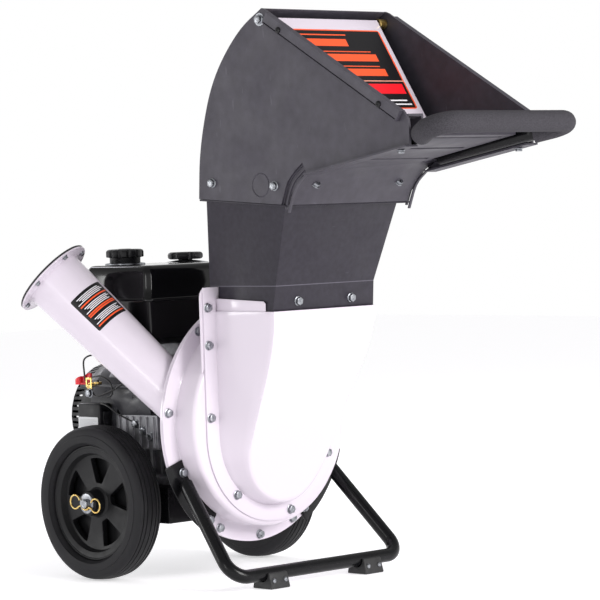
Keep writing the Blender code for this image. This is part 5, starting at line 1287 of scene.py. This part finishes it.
# Fan shroud and recoil starter: a dark painted drum round the flywheel with a cast band, closed by a deep
# black cup with vent slots round its rim and through its face. The rope comes out of its boss to a moulded
# T grip.
RECOIL_REAR = 0.367
RECOIL_RADIUS = 0.0905
RIM_SLOTS = 60
RIM_SLOT_HALF = 0.0021
RIM_SLOT_Y = (0.333, 0.359)
RIM_PLAIN_ENDS = 0.93
RIM_PLAIN_LOW = -0.5
RIM_PLAIN_HIGH = 0.55
FACE_SLOTS = 24
FACE_SLOT_HALF = 0.0026
FACE_SLOT_REACH = (0.040, 0.074)
ROPE_Y = RECOIL_REAR - 0.009 - 0.007
ROPE_Z = SHAFT_Z + 0.030
ROPE_RADIUS = 0.0022
ROPE_STEPS = 24
ROPE_SHOWN = 0.024
BRAID_MM = 2.4
GRIP_START = RECOIL_RADIUS + 0.0005
BAND_FROM = math.pi - math.radians(36)
BAND_TO = math.pi - math.radians(88)
BAND_RADIUS = 0.1224
BAND_SHEET = 0.0016
BAND_Y = 0.2330
BAND_WIDTH = 0.0160


def joined(pieces):
    """Join pieces to one."""
    pick_only(pieces[0])
    for piece in pieces[1:]:
        piece.select_set(True)
    if len(pieces) > 1:
        bpy.ops.object.join()
    return pieces[0]


shroud_paint = clouded(
    "dark grey stoved paint", "black_paint", "#3A3A3E", 0.3, cloud=(24.0,), gloss=(0.24, 0.38),
    skin=(1.8, 0.05, 0.3), Specular_IOR_Level=0.35)
settle(refined("fan_shroud", "flywheel_shroud", 0.0010), shroud_paint, "fan_shroud", angle=30)
band_outline = arc((0, SHAFT_Z), BAND_RADIUS, BAND_FROM, BAND_TO, 20)
band_outline += arc((0, SHAFT_Z), BAND_RADIUS - BAND_SHEET, BAND_TO, BAND_FROM, 20)
band = pressed("shroud_band", [at(x, BAND_Y, z) for x, z in band_outline], ALONG_Y * BAND_WIDTH)
settle(soften(band, 0.0004, 2), cast_metal, angle=40)

cup = refined("recoil_cover", "recoil_cup", 0.0008)
slot_bar = block("slot_bar", at(RECOIL_RADIUS - 0.010, RIM_SLOT_Y[0], SHAFT_Z - RIM_SLOT_HALF),
                 at(RECOIL_RADIUS + 0.020, RIM_SLOT_Y[1], SHAFT_Z + RIM_SLOT_HALF))
face_bar = block("face_bar", at(FACE_SLOT_REACH[0], RECOIL_REAR - 0.006, SHAFT_Z - FACE_SLOT_HALF),
                 at(FACE_SLOT_REACH[1], RECOIL_REAR + 0.004, SHAFT_Z + FACE_SLOT_HALF))
slots = []
for k in range(RIM_SLOTS):
    turn = 2 * math.pi * k / RIM_SLOTS
    down = math.sin(turn)
    if abs(down) < RIM_PLAIN_ENDS and not (math.cos(turn) > 0 and RIM_PLAIN_LOW < down < RIM_PLAIN_HIGH):
        slots.append(turn_copy(slot_bar, "slot_copy", turn, SHAFT_PLACE, "Y"))
for k in range(FACE_SLOTS):
    slots.append(turn_copy(face_bar, "face_copy", 2 * math.pi * k / FACE_SLOTS, SHAFT_PLACE, "Y"))
for bar in (slot_bar, face_bar):
    bpy.data.objects.remove(bar, do_unlink=True)
cut(cup, joined(slots))
settle(cup, moulded_black, "recoil_cover", angle=30)

settle(refined("starter_grip", "starter_handle", 0.0010), moulded_black, "starter_grip", "grip")
rope_white, tree, shader = new_finish("braided starter rope", None, "#D8D4CB", 0.8)
place = add(tree, "TexCoord", {})
braid = add(tree, "TexWave", {
    "Vector": place.outputs["Object"], "Scale": 1000.0 / BRAID_MM, "Distortion": 0.6,
})
tint(tree, braid.outputs["Fac"], shader.inputs["Base Color"], ((0.2, "#C2BDB2"), (0.8, "#E3E0D8")))
roughen(tree, shader, braid.outputs["Fac"], 0.2, 0.6)
rope_line = []
for i in range(ROPE_STEPS + 1):
    rope_line.append(at(GRIP_START + ROPE_SHOWN * (i / ROPE_STEPS - 0.5), ROPE_Y, ROPE_Z))
rope = tube("starter_rope", rope_line, ROPE_RADIUS)
pick_only(rope)
bpy.ops.object.shade_smooth_by_angle(angle=math.radians(60))
rope.data.materials.clear()
rope.data.materials.append(rope_white)
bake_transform(rope)


# Engine controls: a painted bracket, a yellow-plated throttle lever with a red moulded tip, the governor's
# arm, a plated catch with a window, and thin sheathed cables that run between them and the engine.
settle(refined("control_bracket", "throttle_bracket", 0.0004), shroud_paint, "control_bracket")
settle(refined("governor_arm", "governor_lever", 0.0004), black_gloss, "governor_arm", "governor")
THROTTLE_Z = 0.324
WING_START = 0.2480
WING_OUTLINE = [
    (-0.1385, 0.2420, 0.002), (-0.1440, 0.2520, 0.001), (-0.1530, 0.2690, 0.002), (-0.1545, 0.2720, 0.008),
    (-0.1500, 0.2640, 0.018), (-0.1430, 0.2510, 0.021), (-0.1390, 0.2430, 0.016),
]
WING_SHEET = Vector((0.0030, 0.0016, 0))
TIP_SPACE = (at(-0.180, WING_START, THROTTLE_Z - 0.010), at(-0.120, WING_START + 0.060, THROTTLE_Z + 0.040))
TIP_CORNER = [(0.2830, 0.3260), (0.2500, 0.3440), (0.2830, 0.3700)]
CATCH_OUTLINE = [
    (0.2270, 0.3050), (0.2270, 0.3370), (0.2425, 0.3370), (0.2425, 0.3215), (0.2370, 0.3180),
    (0.2370, 0.3050),
]
CATCH_WINDOW = [(0.2305, 0.3245), (0.2305, 0.3335), (0.2390, 0.3335), (0.2390, 0.3245)]
CATCH_FACES = (-0.1580, -0.1568)
CATCH_FOOT = (at(-0.1572, 0.2275, 0.3215), at(-0.1495, 0.2420, 0.3235))
CABLE_RADIUS = 0.0015
CABLES = {
    "stop_wire": (
        (-0.150, 0.2520, 0.3300), (-0.150, 0.2545, 0.3480), (-0.150, 0.2548, 0.3640),
        (-0.146, 0.2508, 0.3714), (-0.140, 0.2403, 0.3749),
    ),
    "throttle_cable": (
        (-0.157, 0.2262, 0.3120), (-0.160, 0.2116, 0.3060), (-0.155, 0.1808, 0.3155),
        (-0.146, 0.1549, 0.3300), (-0.132, 0.1350, 0.3420),
    ),
    "governor_wire": (
        (-0.157, 0.2262, 0.3380), (-0.158, 0.2040, 0.3400), (-0.156, 0.1853, 0.3320),
        (-0.154, 0.1800, 0.3200), (-0.152, 0.1834, 0.3090), (-0.148, 0.1990, 0.3040),
    ),
    "switch_lead": (
        (-0.150, 0.2146, 0.2930), (-0.153, 0.1947, 0.2900), (-0.148, 0.1729, 0.2760),
        (-0.140, 0.1484, 0.2640),
    ),
}
red_plastic = clouded(
    "moulded red nylon", "red_plastic", "#E0202E", 0.3, cloud=(10.0,), gloss=(0.25, 0.4),
    Subsurface_Weight=0.05)
lever = refined("throttle_lever", "throttle_arm", 0.0008)
blade = pressed("blade", [at(x, y, THROTTLE_Z + z) for x, y, z in WING_OUTLINE], WING_SHEET)
soften(blade, 0.0010, 3)
wing = refined("throttle_lever", "throttle_wing", 0.0008)
cut(wing, blade, "UNION")
cut(wing, block("tip_space", *TIP_SPACE), "INTERSECT")
cut(lever, block("tip_space", *TIP_SPACE))
cut(wing, slab("corner", TIP_CORNER, -0.1800, -0.1200))
soften(wing, 0.0006, 2, 40)
settle(wing, red_plastic, body="throttle")
settle(lever, yellow_zinc, "throttle_lever", "throttle")
catch = slab("control_catch", CATCH_OUTLINE, *CATCH_FACES)
cut(catch, slab("window", CATCH_WINDOW, -0.1600, -0.1550))
cut(catch, block("foot_strip", *CATCH_FOOT), "UNION")
settle(soften(catch, 0.0004, 2), yellow_zinc)
link_black = clouded(
    "black sheathed control cable", "black_case", "#0F0F10", 0.35, cloud=(6.0,), gloss=(0.3, 0.45))
for name, points in CABLES.items():
    wire = tube(name, smooth_line([at(*point) for point in points], 6, run_on=False), CABLE_RADIUS, sides=8)
    settle(wire, link_black, body="throttle" if name == "stop_wire" else "chassis", angle=60)


# The engine's left side: a flat painted plate, below it a cast cover with upright ribs, and behind both the
# stop switch in its moulded box.
SIDE_PLATE = [
    (0.2170, 0.3000), (0.2080, 0.3212), (0.1584, 0.3212), (0.1240, 0.3060), (0.1180, 0.2740),
    (0.1920, 0.2720),
]
SIDE_PLATE_FACES = (-0.1240, -0.1226)
SIDE_HOLE = (-0.1233, 0.1609, 0.3040)
SIDE_HOLE_RADIUS = 0.0026
COVER_LOW = 0.2160
COVER_HIGH = 0.2735
COVER_FACE = -0.1230
COVER_BACK = -0.1130
COVER_FRONT_Y = 0.1040
COVER_REAR_Y = 0.2070
COVER_ROOT = (-0.1140, -0.0880)
COVER_ROOT_REAR_Y = 0.1640
COVER_RIB_FACE = -0.1265
COVER_RIB_BACK = -0.1200
COVER_RIB_INSET = 0.003
COVER_RIBS = 6
COVER_RIB_START = 0.1100
COVER_RIB_STEP = 0.0170
COVER_RIB = 0.0030
cover = block("engine_side_cover", at(COVER_FACE, COVER_FRONT_Y, COVER_LOW),
              at(COVER_BACK, COVER_REAR_Y, COVER_HIGH))
root = block("cover_root", at(COVER_ROOT[0], COVER_FRONT_Y, COVER_LOW),
             at(COVER_ROOT[1], COVER_ROOT_REAR_Y, COVER_HIGH))
cut(cover, root, "UNION")
for k in range(COVER_RIBS):
    y = COVER_RIB_START + COVER_RIB_STEP * k
    rib = block("rib", at(COVER_RIB_FACE, y, COVER_LOW + COVER_RIB_INSET),
                at(COVER_RIB_BACK, y + COVER_RIB, COVER_HIGH - COVER_RIB_INSET))
    cut(cover, rib, "UNION")
settle(soften(cover, 0.0016, 3), cast_metal)
side_plate = slab("engine_side_plate", SIDE_PLATE, *SIDE_PLATE_FACES)
cut(side_plate, pin("hole", -0.005, 0.005, SIDE_HOLE_RADIUS, at(*SIDE_HOLE), ALONG_X, 24))
settle(soften(side_plate, 0.0003, 2), shroud_paint)
settle(refined("switch_box", "stop_switch_box", 0.0008), moulded_black, "switch_box")
settle(refined("switch_rocker", "stop_switch_rocker", 0.0005), moulded_black, "switch_rocker", "rocker")


# Printed films: thin plastic labels on the chute, the baffle and the switch. They carry only plain bars.
LABEL_NEAR = 0.1865
LABEL_FAR = 0.2555
LABEL_FROM = math.radians(41)
LABEL_TO = math.radians(124)
LABEL_LIFT = 0.00025
WHITE_INK = "#E9E7EC"
ORANGE_INK = "#EC5A32"
THICK_BARS = (0.075, 0.375, 0.425, 0.695)
THICK_BAR = 0.036
THIN_BARS = (0.150, 0.192, 0.234, 0.276, 0.500, 0.542, 0.584, 0.626, 0.775, 0.817, 0.859, 0.901)
THIN_BAR = 0.021


def printed_film(name, ground, rows, roughness=0.32):
    """A printed film: bars (low, high, colour, from, to) over a ground colour, on the piece's own map."""
    finish, tree, shader = new_finish(name, "black_case", ground, roughness, Specular_IOR_Level=0.2)
    place = add(tree, "UVMap", {})
    split = add(tree, "SeparateXYZ", {"Vector": place.outputs["UV"]})
    inked = colour(ground)
    for low, high, ink, start, end in rows:
        mask = None
        for axis, operation, limit in (
            ("X", "GREATER_THAN", start), ("X", "LESS_THAN", end),
            ("Y", "GREATER_THAN", low), ("Y", "LESS_THAN", high),
        ):
            step = add(tree, "Math", {0: split.outputs[axis], 1: limit}, operation=operation)
            if mask:
                step = add(tree, "Math", {0: mask, 1: step.outputs[0]}, operation="MULTIPLY")
            mask = step.outputs[0]
        mixed = add(tree, "MixRGB", {"Fac": mask, "Color1": inked, "Color2": colour(ink)})
        inked = mixed.outputs["Color"]
    tree.links.new(inked, shader.inputs["Base Color"])
    return finish


def chute_film(across, along):
    """Where the chute's label lies on the tube."""
    reach = LABEL_NEAR + (LABEL_FAR - LABEL_NEAR) * along
    return chute_point(reach, chute_radius(reach) + LABEL_LIFT, LABEL_FROM + (LABEL_TO - LABEL_FROM) * across)


chute_rows = [(low, low + THICK_BAR, ORANGE_INK, 0.08, 0.96) for low in THICK_BARS]
for k, low in enumerate(THIN_BARS):
    chute_rows.append((low, low + THIN_BAR, WHITE_INK, 0.08 + 0.05 * (k * 3 % 4), 0.93 - 0.06 * (k % 3)))
chute_print = printed_film("printed film with bars for the chute", "#161517", chute_rows)
settle(mapped_grid("chute_label", 28, 10, chute_film, 0.09), chute_print, angle=60)

FIELD_HALF = 0.112
FIELD_TOP = 0.0215
FIELD_LOW = 0.178
BAFFLE_FILM_LIFT = 0.0018
baffle_down = (Vector(BAFFLE_LOW) - Vector((ROD_Y, ROD_Z))).normalized()
baffle_ahead = Vector((baffle_down.y, -baffle_down.x))
baffle_start = Vector((ROD_Y, ROD_Z)) - baffle_down * ROD_RADIUS + baffle_ahead * (ROD_RADIUS + 0.0003)


def baffle_film(across, along):
    """Where the printed field lies on the baffle."""
    reach = FIELD_LOW + (FIELD_TOP - FIELD_LOW) * along
    place = baffle_start + baffle_down * reach + baffle_ahead * BAFFLE_FILM_LIFT
    return at(FIELD_HALF * (across * 2 - 1), place.x, place.y)


baffle_rows = [
    (0.985, 1.0, ORANGE_INK, 0.0, 1.0), (0.0, 1.0, ORANGE_INK, 0.986, 1.0),
    (0.0, 1.0, ORANGE_INK, 0.0, 0.014), (0.0, 0.014, ORANGE_INK, 0.0, 1.0),
    (0.925, 0.940, ORANGE_INK, 0.10, 0.62), (0.790, 0.880, ORANGE_INK, 0.08, 0.60),
    (0.715, 0.727, ORANGE_INK, 0.10, 0.80), (0.600, 0.690, ORANGE_INK, 0.08, 0.84),
    (0.530, 0.542, ORANGE_INK, 0.10, 0.82), (0.415, 0.505, ORANGE_INK, 0.08, 0.86),
    (0.345, 0.357, "#E9A08A", 0.0, 1.0), (0.190, 0.315, "#E8202C", 0.03, 0.96),
    (0.140, 0.156, WHITE_INK, 0.06, 0.72), (0.098, 0.114, WHITE_INK, 0.06, 0.93),
    (0.050, 0.066, WHITE_INK, 0.06, 0.96),
]
baffle_print = printed_film("printed film with bars for the baffle", "#1B1A1C", baffle_rows)
settle(mapped_grid("baffle_label", 12, 10, baffle_film, 0.06), baffle_print, angle=60)

SWITCH_SIDE = -0.1496
SWITCH_CORNER = (0.2735, 0.2465)
SWITCH_SIZE = (0.050, 0.0225)
SWITCH_BARS = 8


def switch_film(across, along):
    """Where the small plate lies on the switch box."""
    y = SWITCH_CORNER[0] - SWITCH_SIZE[0] * across
    z = SWITCH_CORNER[1] + SWITCH_SIZE[1] * along
    return at(SWITCH_SIDE, y, z)


switch_rows = []
for k in range(SWITCH_BARS):
    switch_rows.append((0.12 + 0.095 * k, 0.15 + 0.095 * k, "#B9BBBE", 0.08, 0.92 - 0.09 * (k % 3)))
switch_print = printed_film("printed film with bars for the switch", "#DADBDD", switch_rows)
settle(mapped_grid("switch_label", 6, 6, switch_film, 0.10), switch_print, angle=60)


# Bolts: hexagon heads on a pressed flange, bright zinc. The first is modelled once, and each of the others is
# a copy with its own mesh, turned to a slightly different angle as in real life.
FLANGE_BOLT = (0.0065, 0.0078, 0.0052)
LIGHT_BOLT = (0.0052, 0.0066, 0.0042)
RIM_NUT = (0.0038, 0.0050, 0.0034)
RIM_NUTS = 6
HEX_START = 0.0012
BOLT_CIRCLE = 0.195
RING_DEGREES = (173, 128, -116, -88, -64, 7, 52)
BRACKET_SPOTS = ((-0.168, 0.186), (-0.111, 0.1025), (0.168, 0.186), (0.111, 0.1025))
DUCT_SPOTS = (
    (-0.142, 0.456), (-0.142, 0.394), (-0.142, 0.275), (-0.088, 0.144), (0.035, 0.109), (0.128, 0.197),
    (0.142, 0.275), (0.142, 0.394), (0.142, 0.456),
)
NECK_FOLD = Vector((0, -0.1800, NECK_CREASE))
NECK_EDGE = Vector((0, -0.1745, 0.4493))
NECK_BOLT_X = 0.062
NECK_BOLT_Z = 0.464
NECK_LEAN = 0.135
WALL_SPOTS = ((-0.073, 0.659), (-0.216, 0.651))
ROD_NUT_SPOT = (-0.194, 0.917)
SKIRT_WAY = Vector((0, -0.83, 0.56)).normalized()
SKIRT_BOLT_X = 0.097
SKIRT_BOLT_SPOT = (-0.2585, 0.6515)
TRAY_BOLT_X = 0.1386
TRAY_BOLT_SPOT = (-0.485, 0.6995)
COVER_STUD_X = -0.1230
SIDE_STUDS = ((0.1365, 0.2470), (0.1190, 0.2380), (0.1555, 0.2580))
CATCH_STUD = (-0.1580, 0.2318, 0.3110)
FOOT_SCREW_X = 0.013
FOOT_SCREW_Z = 0.0135
FOOT_SCREW_WAY = Vector((0, -1, 0.23)).normalized()
LIP_SCREWS = ((-0.242, 0.897), (-0.455, 0.771))
ZERO = Vector((0, 0, 0))
AHEAD = -ALONG_Y
LEFT = -ALONG_X


def bolt_head(name, size):
    """A flanged hexagon head that stands on the ground plane."""
    across, flange, height = size
    flange_profile = [
        (0.0, 0.0), (0.0, flange), (0.0004, flange + 0.0002), (0.0010, flange), (0.0016, across * 1.02),
        (0.0016, 0.0),
    ]
    head = turned(name, flange_profile, ZERO, ALONG_Z, 32)
    bpy.ops.mesh.primitive_cylinder_add(
        vertices=6, radius=across * 1.08, depth=height, location=(0, 0, HEX_START + height / 2))
    hexagon = bpy.context.active_object
    bpy.ops.object.transform_apply(location=True)
    cut(head, soften(hexagon, across * 0.11, 2, 40), "UNION")
    dish_profile = [
        (height - 0.0002, 0), (height + 0.0008, across * 0.62), (height + 0.004, across * 0.62),
        (height + 0.004, 0),
    ]
    return cut(head, turned("dish", dish_profile, Vector((0, 0, HEX_START)), ALONG_Z, 24))


def fasten(name, head, places):
    """Copies of one head at each (point, outward way, turn), joined to one piece."""
    copies = []
    for point, way, turn in places:
        one = head.copy()
        one.data = head.data.copy()
        bpy.context.scene.collection.objects.link(one)
        aim = way.to_track_quat("Z", "Y").to_matrix().to_4x4()
        one.data.transform(Matrix.Translation(point) @ aim @ Matrix.Rotation(turn, 4, "Z"))
        copies.append(one)
    bolts = joined(copies)
    bolts.name = name
    settle(bolts, bright_zinc, angle=30)


big_head = bolt_head("big_head", FLANGE_BOLT)
small_head = bolt_head("small_head", LIGHT_BOLT)
rim_nut = bolt_head("rim_nut", RIM_NUT)
pan_profile = [
    (-0.0004, 0), (-0.0004, 0.0040), (0.0010, 0.0039), (0.0022, 0.0026), (0.0024, 0.0012), (0.0008, 0.0),
]
pan_head = turned("pan_head", pan_profile, ZERO, ALONG_Z, 28)

ring_places = []
for k, degrees in enumerate(RING_DEGREES):
    turn = math.radians(degrees)
    place = at(BOLT_CIRCLE * math.cos(turn), 0.0, SHAFT_Z + BOLT_CIRCLE * math.sin(turn))
    ring_places.append((place, AHEAD, 0.7 * k))
ring_places += [(at(x, BRACKET_FRONT, z), AHEAD, 0.4 * k) for k, (x, z) in enumerate(BRACKET_SPOTS)]
fasten("housing_bolts", big_head, ring_places)
fasten("duct_bolts", big_head,
       [(at(x, DUCT_FACE - DUCT_SHEET, z), AHEAD, 0.9 * k) for k, (x, z) in enumerate(DUCT_SPOTS)])

neck_front = (NECK_FOLD - NECK_EDGE).normalized()
neck_way = Vector((0, -neck_front.z, neck_front.y))
neck_y = NECK_EDGE.y - (NECK_BOLT_Z - NECK_EDGE.z) * NECK_LEAN
fasten("neck_bolts", big_head,
       [(at(x, neck_y, NECK_BOLT_Z), neck_way, 0.5 + x * 9) for x in (-NECK_BOLT_X, NECK_BOLT_X)])

wall_places = []
for side, sign in SIDES:
    for k, (y, z) in enumerate(WALL_SPOTS):
        wall_places.append((at(sign * WALL_OUTER, y, z), ALONG_X * sign, 0.8 * k))
fasten("hopper_wall_bolts", big_head, wall_places)
fasten("rod_nuts", big_head,
       [(at(sign * (WALL_OUTER + 0.0012), *ROD_NUT_SPOT), ALONG_X * sign, 0.3) for side, sign in SIDES])
washer_profile = [(0.0, 0.0), (0.0, 0.0105), (0.0006, 0.0108), (0.0014, 0.0103), (0.0014, 0.0)]
for side, sign in SIDES:
    place = at(sign * WALL_OUTER, *ROD_NUT_SPOT)
    settle(turned("rod_washer_" + side, washer_profile, place, ALONG_X * sign, 40), bright_zinc)

fasten("skirt_bolts", big_head,
       [(at(x, *SKIRT_BOLT_SPOT), SKIRT_WAY, 0.2 + x * 5) for x in (-SKIRT_BOLT_X, SKIRT_BOLT_X)])
fasten("tray_bolts", small_head,
       [(at(x, *TRAY_BOLT_SPOT), -ALONG_Z, 0.4) for x in (-TRAY_BOLT_X, TRAY_BOLT_X)])
stud_places = [(at(COVER_STUD_X, y, z), LEFT, y * 30) for y, z in SIDE_STUDS]
stud_places += [(at(*CATCH_STUD), LEFT, 0.4)]
fasten("engine_side_bolts", big_head, stud_places)
leg_places = []
for side, sign in SIDES:
    place = at(sign * (STAND_HALF_TOP + 0.0015), leg_y - STAND_RADIUS * 0.75, STAND_TOP_Z - 0.012)
    leg_places.append((place, AHEAD, 0.5 + sign))
fasten("stand_leg_bolts", small_head, leg_places)
rim_places = []
for k in range(RIM_NUTS):
    turn = 2 * math.pi * (k + 0.5) / RIM_NUTS
    place = chute_point(CHUTE_LENGTH, (CHUTE_MOUTH + CHUTE_RIM) / 2 + 0.0014, turn)
    rim_places.append((place, -CHUTE_DIRECTION, 0.6 * k))
fasten("chute_rim_nuts", rim_nut, rim_places)
foot_places = []
for x in (-FOOT_X - FOOT_SCREW_X, -FOOT_X + FOOT_SCREW_X, FOOT_X - FOOT_SCREW_X, FOOT_X + FOOT_SCREW_X):
    foot_places.append((at(x, STAND_Y - FOOT_HALF * 0.87, FOOT_SCREW_Z), FOOT_SCREW_WAY, x * 7))
fasten("foot_screws", pan_head, foot_places)

screw_profile = [
    (0.0, 0.0), (0.0, 0.0052), (0.0012, 0.0050), (0.0026, 0.0032), (0.0028, 0.0018), (0.0010, 0.0),
]
black_steel = clouded(
    "black oxide steel screw", "bare_steel", "#1E1E20", 0.4, cloud=(4.0,), gloss=(0.3, 0.5), metallic=0.6)
for side, sign in SIDES:
    for k, (y, z) in enumerate(LIP_SCREWS):
        place = at(sign * lip_face, y, z)
        settle(turned("lip_screw_%s_%d" % (side, k), screw_profile, place, ALONG_X * sign, 32), black_steel)


# Small sheet parts: side strips that close the duct's top against the neck, and the moulded round plug's ring
# in the hopper's wall.
STRIP_INNER = 0.1190
STRIP_SHEET = 0.0020
STRIP_OUTLINE = [(-0.0400, 0.447), (-0.0400, 0.4705), (-0.1560, 0.4655), (-0.1600, 0.4620), (-0.1600, 0.4480)]
RING_PROFILE = [
    (-0.0010, 0.0176), (0.0002, 0.0178), (0.0009, 0.0184), (0.0009, 0.0190), (0.0002, 0.0196),
    (-0.0010, 0.0198),
]
RING_SPOT = (-0.184, 0.653)
strip_outer = STRIP_INNER + STRIP_SHEET
for side, sign in SIDES:
    tab = slab("duct_side_strip_" + side, STRIP_OUTLINE, sign * STRIP_INNER, sign * strip_outer)
    settle(soften(tab, 0.0006, 2), white_coat)
    place = at(sign * WALL_OUTER, *RING_SPOT)
    settle(turned("wall_plug_ring_" + side, RING_PROFILE, place, ALONG_X * sign, 56), hopper_plastic)


# Bare steel inside: shaft, rotor, knives, flywheel and pulley keep their CAD shapes and get real finishes.
ground_steel = clouded(
    "ground tool steel", "bare_steel", "#B7B8BC", 0.28, cloud=(3.0,), gloss=(0.2, 0.36), metallic=1.0)
mill_steel = clouded(
    "oiled mill steel", "bare_steel", "#7D7D81", 0.4, cloud=(20.0,), gloss=(0.34, 0.5),
    tones=((0.3, "#65656A"), (0.7, "#8E8E92")), metallic=1.0)
for names, finish in (
    (("crankshaft", "chipper_knife_first", "chipper_knife_second"), ground_steel),
    (("impeller",), mill_steel),
    (("flywheel",), cast_metal), (("starter_pulley",), moulded_black),
):
    for name in names:
        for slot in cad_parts[name].material_slots:
            slot.material = finish
for head in (big_head, small_head, rim_nut, pan_head):
    bpy.data.objects.remove(head, do_unlink=True)
